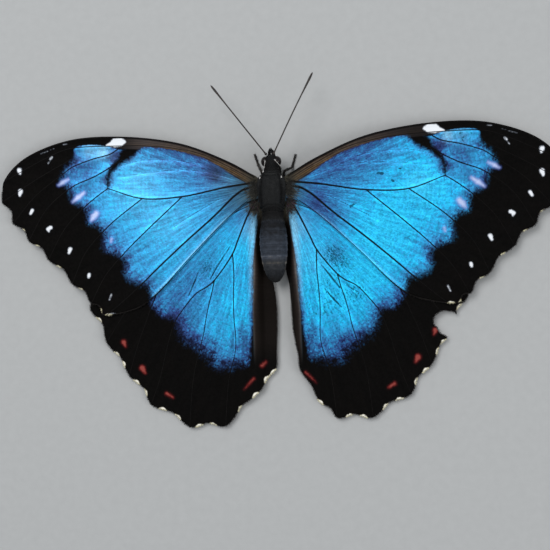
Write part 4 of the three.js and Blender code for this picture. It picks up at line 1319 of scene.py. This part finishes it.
class Coat:
    """How hair and scales stand at the skin's points: their way, length, width, tone and thickness."""

    def __init__(self, at, up):
        self.x, self.y, _ = at.T
        self.up, self.top = up, up[:, 2]
        self.side = np.sign(self.x) * smooth(.15, .8, np.abs(up[:, 0]))
        # Shares between 0 and 1 of each part of the body: the rear is the abdomen, the plate is the back's
        # smooth middle, and the ruff stands up just behind the head.
        self.rear = smooth(-5.5, -6.1, self.y)
        self.head = smooth(5.1, 5.6, self.y)
        self.chest = (1 - self.rear) * (1 - self.head)
        plate = self.chest * smooth(2.05, 1.8, np.abs(self.x))
        self.plate = plate * smooth(-2.8, -2.4, self.y) * smooth(3.6, 3.2, self.y)
        self.collar = smooth(3.2, 3.5, self.y) * smooth(5.2, 4.9, self.y)
        self.ruff = np.exp(-((self.y - 4.8) / .55) ** 2)

    def way(self):
        """Back along the body and out at the sides, forward over the face, and a little off the skin."""
        y, up, head, chest = self.y, self.up, self.head, self.chest
        none = np.zeros(len(y))
        flow = np.column_stack([.3 * self.side * chest + .12 * self.x, none - 1,
                                -.35 * (self.top < 0) * chest])
        flow[:, 1] += head * smooth(5.8, 7, y) * 1.9
        flow[:, 2] += head * .5
        flow -= up * np.sum(flow * up, axis=1)[:, None]
        flow /= np.linalg.norm(flow, axis=1)[:, None]
        flow += up * (.17 * chest + .32 * head + .08 * self.rear)[:, None]
        flow[:, 2] -= .3 * smooth(7.9, 8.2, y)
        flow += up * (.1 * self.ruff)[:, None] + np.column_stack([.5 * self.side * self.ruff, none, none])
        return flow

    def length(self):
        """In millimetres: long at the chest's sides, the waist and the tail, and short on the plate."""
        y, chest, rear, sides = self.y, self.chest, self.rear, np.abs(self.side)
        long = .42 * chest - .15 * self.plate - .12 * self.collar + .3 * rear + .34 * self.head
        long += .15 * self.ruff * sides
        long += .5 * (chest - self.plate) * sides * smooth(3.5, 2, y) + .25 * chest * (self.top < -.2)
        long += .25 * np.exp(-((y + 4.9) / .7) ** 2) + .2 * rear * smooth(-13, -17, y)
        return long * (.45 + .55 * smooth(8.1, 7.2, y))

    def abdomen_tone(self):
        """What the abdomen adds to the tone: its rings' pale edges, its darker front and its grey flanks."""
        x, y, top, rear = self.x, self.y, self.top, self.rear
        edges = np.min(np.abs(y[:, None] - np.array(RING_EDGES)[None] - .12), axis=1)
        bright = .14 * np.exp(-((y + 13.45) / .3) ** 2) + .08 * np.exp(-((y + 14.85) / .25) ** 2)
        patchy = .6 + .4 * np.sin(2.3 * x + 1.9 * y) * np.sin(1.1 * x - 3.1 * y + 1)
        rings = (.05 + bright) * patchy * smooth(.26, .06, edges) * smooth(-.3, .4, top) + bright * .2
        tone = rear * rings
        tone -= .22 * rear * smooth(-11, -6, y)
        tone -= .05 * rear * smooth(.3, .6, edges)
        flank = np.exp(-((top - .25) / .2) ** 2) * smooth(-7.5, -9.5, y) * smooth(-18.5, -16.5, y)
        tone += .13 * rear * flank
        tone += .08 * rear * smooth(-12.5, -14.5, y) * smooth(-16.4, -15, y)
        tone -= .12 * smooth(-16, -18.5, y)
        return tone + .1 * rear * smooth(-13.4, -14.2, y) * smooth(-19.2, -16, y)

    def chest_tone(self):
        """What the chest adds to the tone: paler sides and collar bands, and dark grooves and waist."""
        x, y, top, chest = self.x, self.y, self.top, self.chest
        tone = .12 * (chest - self.plate) * np.abs(self.side) * smooth(3.8, 2, y) + .08 * self.plate
        groove = chest * np.exp(-((np.abs(x) - 2.05) / .24) ** 2) * smooth(-3, -2, y)
        tone -= .3 * groove * smooth(4, 3.4, y) * smooth(0, .3, top)
        pleats = np.min(np.abs((y - .06 * x ** 2)[:, None] - np.array([3.5, 4.1, 4.65])[None]), axis=1)
        tone += .24 * smooth(.1, .28, pleats) * smooth(3.4, 3.6, y) * smooth(5, 4.8, y)
        tone -= .2 * np.exp(-((y + 3.7) / .8) ** 2)
        return tone - .12 * smooth(4, 5, y) * (1 - self.head)

    def fields(self):
        """All of it as fields of the skin. "rear" says where the abdomen's cooler tones take over."""
        tone = .37 + .03 * self.rear - .05 * self.head + self.chest_tone() + self.abdomen_tone()
        tone += .2 * np.exp(-((self.y + 5.75) / .2) ** 2) * smooth(0, .3, self.top)
        return {"lie": self.way() * self.length()[:, None] * MM, "up": self.up,
                "wide": (.05 + .012 * self.rear) * MM, "shade": np.clip(tone, .05, 1),
                "rear": self.rear * (1 - .8 * smooth(-13.4, -14.6, self.y)), "lush": np.ones(len(self.x))}


def lofted(rings, unwrap):
    """Points, faces and face-corner unwrap of a tube through rings of points, its ends closed by fans. The
    rings are turned so that the faces look outward. unwrap holds the map's two corners."""
    rows, across = rings.shape[:2]
    middle = rings.mean(1)
    half = rows // 2
    spokes = rings[half] - middle[half]
    turning = np.sum(np.cross(spokes, np.roll(spokes, -1, axis=0)), axis=0)
    if turning @ (middle[half + 1] - middle[half - 1]) < 0:
        rings = rings[:, ::-1]
    points = list(rings.reshape(-1, 3))
    faces, corners = [], []
    (u0, v0), (u1, v1) = unwrap
    u = np.linspace(u0, u1, across + 1)
    v = np.linspace(v0, v1, rows)
    for i in range(rows - 1):
        for j in range(across):
            k = (j + 1) % across
            faces.append((i * across + j, i * across + k, (i + 1) * across + k, (i + 1) * across + j))
            corners += [(u[j], v[i]), (u[j + 1], v[i]), (u[j + 1], v[i + 1]), (u[j], v[i + 1])]
    for end in (0, rows - 1):
        hub = len(points)
        points.append(rings[end].mean(0))
        tip = v[end] + (v[1] - v[0]) * (.5 if end else -.5)
        for j in range(across):
            k = (j + 1) % across
            a, b = end * across + j, end * across + k
            faces.append((hub, a, b) if end else (hub, b, a))
            near, far = (u[j], v[end]), (u[j + 1], v[end])
            corners += [((u[j] + u[j + 1]) / 2, tip), *((near, far) if end else (far, near))]
    return np.array(points), faces, corners


def ways_up(points, faces):
    """Each point's way up: the mean of its faces' own ways, weighed by their sizes."""
    up = np.zeros((len(points), 3))
    for sides in (3, 4):
        some = np.array([face for face in faces if len(face) == sides], int)
        if len(some):
            first, second, third, last = (points[some[:, corner]] for corner in (0, 1, 2, -1))
            across = np.cross(third - first, last - second)
            for corner in range(sides):
                np.add.at(up, some[:, corner], across)
    return up / np.maximum(np.linalg.norm(up, axis=1), 1e-12)[:, None]


PALP_WIDTHS = [(0, .3), (.15, .36), (.3, .34), (.36, .3), (.55, .32), (.66, .26), (.72, .2), (.85, .16),
               (1, .04)]  # (share of the length, half width)


def palp_rings(side):
    """A palp: three scaly joints that rise in front of the face and lean together at their tips."""
    line = spline([(.5, 7.7, 4.0), (.42, 8.25, 4.4), (.28, 8.75, 4.95), (.1, 9.2, 5.5)], step=.07)
    share = np.linspace(0, 1, len(line))
    half = np.interp(share, *zip(*PALP_WIDTHS))
    way = np.gradient(line, axis=0)
    way /= np.linalg.norm(way, axis=1)[:, None]
    across = np.cross(way, (1, 0, 0))
    across /= np.linalg.norm(across, axis=1)[:, None]
    over = np.cross(across, way)
    turn = np.linspace(0, 2 * np.pi, 14, endpoint=False)
    ring = np.cos(turn)[None, :, None] * over[:, None] + np.sin(turn)[None, :, None] * across[:, None]
    rings = line[:, None] + ring * half[:, None, None]
    rings[..., 0] *= side
    return rings


def tegula_rings(side):
    """The scaly lappet over a forewing's hinge, a flat lobe that runs back from the shoulder."""
    line = spline([(1.9, 3.9, 6), (2.25, 3.2, 6.3), (2.5, 2.1, 6.5), (2.65, .9, 6.5), (2.7, 0, 6.3)], step=.1)
    share = np.linspace(0, 1, len(line))
    half = np.interp(share, [0, .08, .3, .6, .9, 1], [.08, .3, .46, .44, .25, .06])
    turn = np.linspace(0, 2 * np.pi, 18, endpoint=False)
    ring = np.stack([np.cos(turn), 0 * turn, .5 * np.sin(turn)], 1)
    rings = line[:, None] + ring * half[:, None, None]
    rings[..., 0] *= side
    return rings


def body_skin():
    """Head, thorax and abdomen as one skin, with both palps and the lappets over the wing hinges."""
    rows = spline(HEAD_STATIONS + THORAX_STATIONS + ABDOMEN_STATIONS, step=.11)
    turn = np.linspace(-np.pi / 2, 3 * np.pi / 2, AROUND, endpoint=False)
    ahead, wide, middle, tall = (column[:, None] for column in rows.T)
    relief = body_relief(ahead, turn[None])
    relief *= np.minimum(1, wide / 1.2)
    cos, sin = np.cos(turn)[None], np.sin(turn)[None]
    x = np.sign(cos) * np.abs(cos) ** (2 / SQUARENESS) * (wide + relief)
    z = middle + np.sign(sin) * np.abs(sin) ** (2 / SQUARENESS) * (tall + relief)
    rings = np.stack([x, np.broadcast_to(ahead, x.shape), z], -1)
    points, faces, corners = lofted(rings, ((.01, .02), (.99, .9)))
    starts = []
    for rings in (palp_rings(1), palp_rings(-1), tegula_rings(1), tegula_rings(-1)):
        left = .01 + .25 * len(starts)
        more, more_faces, more_corners = lofted(rings, ((left, .93), (left + .23, .98)))
        starts.append(len(points))
        faces += [tuple(i + len(points) for i in face) for face in more_faces]
        points = np.vstack([points, more])
        corners += more_corners
    fields = Coat(points, ways_up(points, faces)).fields()
    dress_palps(points, fields)
    dress_lappets(points, fields, starts[2])
    skin = new_object("body_skin", points, faces, fields)
    skin.data.uv_layers.new(name="OFBake").data.foreach_set("uv", np.array(corners).ravel())
    skin.data.materials.append(SKIN)
    return skin


def dress_palps(points, fields):
    """The palps' coat: fine hair that runs forward and up, with a pale band before the tip."""
    across, ahead, _ = points.T
    palp = smooth(8.05, 8.3, ahead)
    level = np.full(len(points), 1.)
    raised = np.column_stack([-.3 * across, .8 * level, .9 * level])
    fields["lie"] += palp[:, None] * (raised * .34 * MM - fields["lie"])
    band = .22 + .25 * smooth(8.6, 8.8, ahead) * smooth(9, 8.85, ahead)
    fields["shade"] = np.where(palp > .5, band, fields["shade"])
    fields["wide"] = fields["wide"] * (1 - .3 * palp)


def dress_lappets(points, fields, first):
    """The lappets' coat, from the first of their points on: short scales in pale and dark bands."""
    lappet = np.arange(len(points)) >= first
    fields["shade"] = np.where(lappet, .36 + .26 * np.sin(points[:, 1] * 7) ** 8, fields["shade"])
    fields["lie"] *= np.where(lappet, .55, 1)[:, None]


def coat_on(skin, name, slot, tree, near, crowd, **sizes):
    """Tufts on the part of the skin where near, a number between 0 and 1 at each point, is above 0. crowd is
    how many stand on a square millimetre."""
    source = skin.copy()
    source.data = skin.data.copy()
    bpy.context.scene.collection.objects.link(source)
    source.data.attributes["lush"].data.foreach_set("value", near.astype(np.float32))
    sizes["Per square metre"] = crowd * 1e6
    return tufts(name, tree, source, slot, **sizes)


skin = body_skin()
finish_piece(skin, "body_hair", "thorax", "abdomen", "head", "palp_left", "palp_right")
skin_at = np.zeros(len(skin.data.vertices) * 3)
skin.data.vertices.foreach_get("co", skin_at)
skin_ahead = (skin_at.reshape(-1, 3)[:, 1] - HINGE_LINE) / MM
near_thorax = smooth(-5.6, -5, skin_ahead) * smooth(5.2, 4.9, skin_ahead)
near_head = smooth(4.9, 5.2, skin_ahead)
near_abdomen = smooth(-5, -5.6, skin_ahead)
coat_on(skin, "thorax_hair", "body_hair", SKIN_TUFTS, near_thorax, 66, Spread=.22, Seed=1)
coat_on(skin, "head_hair", "body_hair", SKIN_TUFTS, near_head, 120, Spread=.3, Seed=2)
coat_on(skin, "abdomen_hair", "abdomen_scales", FLAT_TUFTS, near_abdomen, 75, Spread=.14, Seed=3)


# ---------------------------------------------------------------- eyes, antennae, proboscis and legs

EYE_MIDDLE = (1.2, 6.6, 5.1)
EYE_HALF = (.98, 1.11, 1.26)


def eye_piece(side):
    """A smooth egg-shaped dome, whose lenses are in its finish."""
    turn = np.linspace(0, 2 * np.pi, 48, endpoint=False)
    tilt = np.linspace(-np.pi / 2 + .06, np.pi / 2 - .06, 30)
    ring = np.stack([np.cos(turn), np.sin(turn)], -1)[None] * np.cos(tilt)[:, None, None]
    rise = np.broadcast_to(np.sin(tilt)[:, None, None], (30, 48, 1))
    rings = np.concatenate([ring, rise], -1) * EYE_HALF + EYE_MIDDLE
    points, faces, corners = lofted(rings, ((.02, .02), (.98, .98)))
    piece = new_object(f"eye_{side}_dome", points, faces, mirror=SIDES[side])
    piece.data.materials.append(EYE_GLOSS)
    return finish_piece(piece, "eye", f"eye_{side}")


def eye_dome(x, y):
    """How high the eye's dome stands over a plan point, and its own way up there."""
    east, north = (x - EYE_MIDDLE[0]) / EYE_HALF[0], (y - EYE_MIDDLE[1]) / EYE_HALF[1]
    rise = np.sqrt(np.clip(1 - east ** 2 - north ** 2, .02, 1))
    up = np.column_stack([east, north, rise]) / EYE_HALF
    return EYE_MIDDLE[2] + EYE_HALF[2] * rise, up / np.linalg.norm(up, axis=1)[:, None]


BROW = {"left": ((1.1, 6.7), (1.4, 5.5)), "right": ((.74, 6.95), (1.85, 5.65))}
WHITE_DOTS = {"left": [(2.3, 3.2, 6.62), (1.6, 4.5, 6.2)], "right": [(2.2, 3.2, 6.62)]}


BROW_HAIRS, BROW_WHITES, DOT_WHITES = 420, 52, 26


def brow_tufts(side, rng):
    """Black hair that lies back over the eye's inner rim, edged by a line of white scales."""
    start, end = (np.array(place) for place in BROW[side])
    way = (end - start) / np.linalg.norm(end - start)
    inward = np.array((way[1], -way[0]))
    along = np.append(rng.uniform(-.1, 1, BROW_HAIRS), rng.uniform(0, 1, BROW_WHITES))
    across = np.append(rng.uniform(.12, .9, BROW_HAIRS), rng.uniform(-.045, .03, BROW_WHITES))
    at = start + (end - start) * along[:, None] + inward * across[:, None]
    white = np.arange(len(at)) >= BROW_HAIRS
    height, up = eye_dome(*at.T)
    height = np.maximum(height, 5.75) + np.where(white, .14, 0)
    lie = np.tile((.15, -.9, -.1), (len(at), 1))
    lie[white] = (way[0], way[1], -.15)
    lie += up * np.where(white, .05, .25)[:, None]
    lie *= np.where(white, .32, rng.uniform(.2, .42, len(at)))[:, None]
    shade = np.where(white, .88, .28 + rng.normal(0, .06, len(at)))
    wide = np.where(white, .036, .035)
    unwrap = np.column_stack([.05 + .75 * (along + .1) / 1.1, .05 + .85 * (across + .05)])
    return np.column_stack([at, height - .03]), lie, up, wide, shade, unwrap


def shoulder_dots(side, rng):
    """The white dots of scales at the thorax's shoulder and collar."""
    at = np.repeat(WHITE_DOTS[side], DOT_WHITES, axis=0)
    at = at + rng.normal(0, 1, at.shape) * (.08, .08, .02)
    lie = np.tile((.08, -.16, .12), (len(at), 1)) + rng.normal(0, .05, at.shape)
    up = np.tile((.2, .2, .95), (len(at), 1))
    unwrap = np.column_stack([.92 + .2 * (at[:, 0] - 2), .1 + .16 * (at[:, 1] - 2.4)])
    return at, lie, up, np.full(len(at), .038), np.full(len(at), .95), unwrap


def brow_piece(side):
    """The brow's stripe and the white dots near it, which are kept together as one piece."""
    rng = np.random.default_rng(41)
    parts = zip(brow_tufts(side, rng), shoulder_dots(side, rng))
    at, lie, up, wide, shade, unwrap = (np.concatenate(pair) for pair in parts)
    roots = tuft_roots("brow", at, lie, up, wide, shade, np.clip(unwrap, .01, .99), SIDES[side])
    return tufts(f"brow_{side}", BROW_TUFTS, roots, "body_hair", Spread=.08, Seed=12)


HORN_TREE = path_tree("horn_tubes", HORN)


def horn_piece(name, lines, mirror, *nodes):
    """Horny tubes along lines, as one piece."""
    piece = grow(name, HORN_TREE, lines_object(name, lines, mirror), Sides=TUBE_SIDES)
    return finish_piece(piece, "chitin", *nodes)


ANTENNAE = {"left": [(.8, 7.85, 6.35), (6.7, 15.65, 6.3), (12.55, 23.4, 5.2)],
            "right": [(.6, 7.9, 6.35), (4.97, 16.5, 6.4), (9.35, 25, 5.4)]}
ANTENNA_WIDTHS = [(0, .2), (.012, .3), (.022, .26), (.03, .17), (.1, .15), (.72, .15), (.86, .22), (.93, .26),
                  (.98, .2), (1, .03)]  # (share of the length, half width)


def antenna_piece(side):
    """A thread of short joints that thickens to a slim club, from a swollen root joint."""
    line = spline(ANTENNAE[side], step=.06)
    share = np.linspace(0, 1, len(line))
    joints = np.abs(np.sin(np.pi * share * 38))
    half = np.interp(share, *zip(*ANTENNA_WIDTHS)) * (.9 + .12 * joints ** .5)
    return horn_piece(f"antenna_{side}_joints", [np.column_stack([line, half])], SIDES[side],
                      f"antenna_{side}")


def proboscis_piece():
    """The tongue, coiled between the palps, and the stem it hangs from."""
    turn = np.linspace(.5, 2 * np.pi * 2.6, 130)
    reach = np.linspace(.16, .58, 130)
    line = np.column_stack([np.zeros(130), 7.95 + reach * np.cos(turn), 3.1 + reach * np.sin(turn),
                            np.interp(turn, [0, 16], [.05, .11])])
    stem = spline([line[-1, :3], (0, 7.75, 3.75), (0, 7.4, 4.1)], step=.1)[1:]
    line = np.vstack([line, np.column_stack([stem, np.full(len(stem), .12)])])
    return horn_piece("proboscis_coil", [line], 1, "proboscis")


# Leg joints, (outward, ahead, up), down to the ankle, and the toe on the floor.
HIND_LEG = [(1.7, -2.1, 1.95), (6.1, -4.4, 2.6), (8.7, -11.6, .85), (9.8, -18.3)]
MID_LEGS = {"left": [(1.75, 1, 2.05), (2.3, 4.6, 2.95), (3.35, 6.5, .85), (4.05, 8.7)],
            "right": [(1.75, 1, 2.05), (2.5, 4.7, 2.95), (3.95, 5.6, .85), (4.75, 8.3)]}
FORE_LEG = [(1.05, 3.3, 2.35), (1.55, 4.9, 2.5), (1.35, 6.2, 3.05)]


# The widths are (share of the length, half width), and the claw's stations are (ahead of the toe, out to the
# side, up, half width).
FEMUR_WIDTHS = ((0, .2), (.08, .3), (.4, .34), (.75, .28), (.95, .2), (1, .17))
TIBIA_WIDTHS = ((0, .17), (.06, .23), (.5, .22), (.85, .2), (.97, .22), (1, .15))
FORE_WIDTHS = ((0, .15), (.1, .25), (.4, .26), (.7, .2), (1, .08))
CLAW = ((-.08, .03, 0, .1), (.14, .1, .05, .08), (.3, .15, 0, .05), (.4, .17, -.05, .02))


def straight_joint(start, end, widths):
    """The stations of a joint that runs straight between two places."""
    return np.array([(*(start + (end - start) * share), half) for share, half in widths])


def leg_lines(joints):
    """Femur, tibia, five toe joints and a pair of claws, as one line of stations each."""
    hip, knee, ankle, toe = (np.array(joint, float) for joint in joints)
    toe = np.array([*toe, .2])
    bow = ankle + (toe - ankle) * .2
    bow[2] = .22
    foot = spline([ankle, bow, toe], step=.12)
    share = np.linspace(0, 1, len(foot))
    joint = (share * 5) % 1
    foot = np.column_stack([foot, .13 + .05 * joint + .02 * (1 - share)])
    foot[:, 2] = np.maximum(foot[:, 2], foot[:, 3] + .02)
    heading = (toe - ankle) * (1, 1, 0)
    heading /= np.linalg.norm(heading)
    across = np.array([-heading[1], heading[0], 0])
    claws = []
    for side in (-1, 1):
        claws.append(np.array([(*(toe + heading * ahead + across * side * out + (0, 0, lift)), half)
                               for ahead, out, lift, half in CLAW]))
    return [straight_joint(hip, knee, FEMUR_WIDTHS), straight_joint(knee, ankle, TIBIA_WIDTHS), foot, *claws]


def leg_hair(name, lines, mirror, per_mm, long):
    """Short bristles all round the lines, that lean down the leg."""
    rng = np.random.default_rng(31)
    at, lie, up, unwrap = [], [], [], []
    for place, line in enumerate(lines):
        for step, (start, end) in enumerate(zip(line, line[1:])):
            way = end[:3] - start[:3]
            length = np.linalg.norm(way)
            way = way / max(length, 1e-9)
            aside = np.cross(way, (0, 0, 1.) if abs(way[2]) < .9 else (1., 0, 0))
            aside /= np.linalg.norm(aside)
            for _ in range(rng.poisson(length * per_mm)):
                share, turn = rng.uniform(), rng.uniform(0, 2 * np.pi)
                out = aside * np.cos(turn) + np.cross(way, aside) * np.sin(turn)
                middle = start + (end - start) * share
                at.append(middle[:3] + out * middle[3] * .9)
                lie.append((way + out * rng.uniform(.25, .6)) * long * rng.uniform(.6, 1.2))
                up.append(out)
                unwrap.append(((step + share) / (len(line) - 1), (place + turn / (2 * np.pi)) / len(lines)))
    at, lie, up = np.array(at), np.array(lie), np.array(up)
    lie[:, 2] = np.maximum(lie[:, 2], .17 - at[:, 2])  # no bristle reaches the floor
    wide = np.full(len(at), .026)
    shade = rng.uniform(.4, .72, len(at))
    return tuft_roots(name, at, lie, up, wide, shade, np.array(unwrap) * .96 + .02, mirror)


def leg_pieces(side):
    """The middle and hind leg, each joint a piece of its own, and the short brush-like foreleg."""
    mirror = SIDES[side]
    for name, joints, per_mm in (("midleg", MID_LEGS[side], 85), ("hindleg", HIND_LEG, 40)):
        femur, tibia, *foot = leg_lines(joints)
        for part, lines in (("femur", [femur]), ("tibia", [tibia]), ("tarsus", foot)):
            horn_piece(f"{name}_{part}_{side}_horn", lines, mirror, f"{name}_{part}_{side}")
        bristles = leg_hair("bristles", [femur, tibia, foot[0]], mirror, per_mm, .46)
        tufts(f"{name}_{side}_bristles", LEG_TUFTS, bristles, "chitin", Spread=.1, Seed=8)
    line = spline(FORE_LEG, step=.1)
    share = np.linspace(0, 1, len(line))
    line = np.column_stack([line, np.interp(share, *zip(*FORE_WIDTHS))])
    horn_piece(f"foreleg_{side}_horn", [line], mirror, f"foreleg_{side}")
    brush = leg_hair("brush", [line], mirror, 150, .42)
    tufts(f"foreleg_{side}_brush", LEG_TUFTS, brush, "chitin", Spread=.1, Seed=9)


for side in SIDES:
    eye_piece(side)
    brow_piece(side)
    antenna_piece(side)
    leg_pieces(side)
proboscis_piece()


# ---------------------------------------------------------------- floor, light and camera

def stage_finish():
    """Matt grey paper: a quiet, even ground, with faint fibres about 1.7 mm across."""
    material, tree, shader = new_material("matt_paper", **{"Roughness": .9, "Specular IOR Level": .2})
    place = add(tree, PLACE, out="Object")
    fibre = add(tree, NOISE, {"Vector": place, "Scale": 600, "Detail": 3})
    paper = add(tree, MIX, {"Factor": fibre, "A": "#a5a6a6", "B": "#adaeae"}, data_type="RGBA")
    join(tree, shader, Base_Color=paper)
    return material


bpy.ops.mesh.primitive_plane_add(size=2)
floor = bpy.context.object
floor.name = "floor"
floor.data.materials.append(stage_finish())

MIDDLE = Vector((0, 0, .004))  # what the lights point at, in metres


def soft_light(name, place, size, power):
    """A round soft light, placed and sized in metres, its power in watts."""
    lamp = bpy.data.lights.new(name, "AREA")
    lamp.shape, lamp.size, lamp.energy = "DISK", size, power
    made = bpy.data.objects.new(name, lamp)
    made.location = place
    made.rotation_euler = (Vector(place) - MIDDLE).to_track_quat("Z", "Y").to_euler()
    bpy.context.scene.collection.objects.link(made)


soft_light("key", (-.22, .3, .56), .42, 2.95)
soft_light("fill", (.45, -.2, .4), .4, 1.2)
world = bpy.data.worlds.new("studio")
world.use_nodes = True
world.node_tree.nodes["Background"].inputs["Color"].default_value = colour("#e9eef2")
world.node_tree.nodes["Background"].inputs["Strength"].default_value = .55
bpy.context.scene.world = world
bpy.context.scene.view_settings.view_transform = "Standard"

# The view is nearly straight down, from a little to the insect's right, with the head at the top.
VIEW_TILT = math.radians(6.28)
VIEW_ROLL = math.radians(-1.63)
VIEW_FROM = (21.7, -17.5, 201.1)
lens = bpy.data.cameras.new("camera")
lens.lens, lens.sensor_width = 60.83, 36
camera = bpy.data.objects.new("camera", lens)
camera.matrix_world = Matrix.Translation(metres(VIEW_FROM)) @ (
    Matrix.Rotation(VIEW_TILT, 4, "Y") @ Matrix.Rotation(VIEW_ROLL, 4, "Z"))
bpy.context.scene.collection.objects.link(camera)
bpy.context.scene.camera = camera
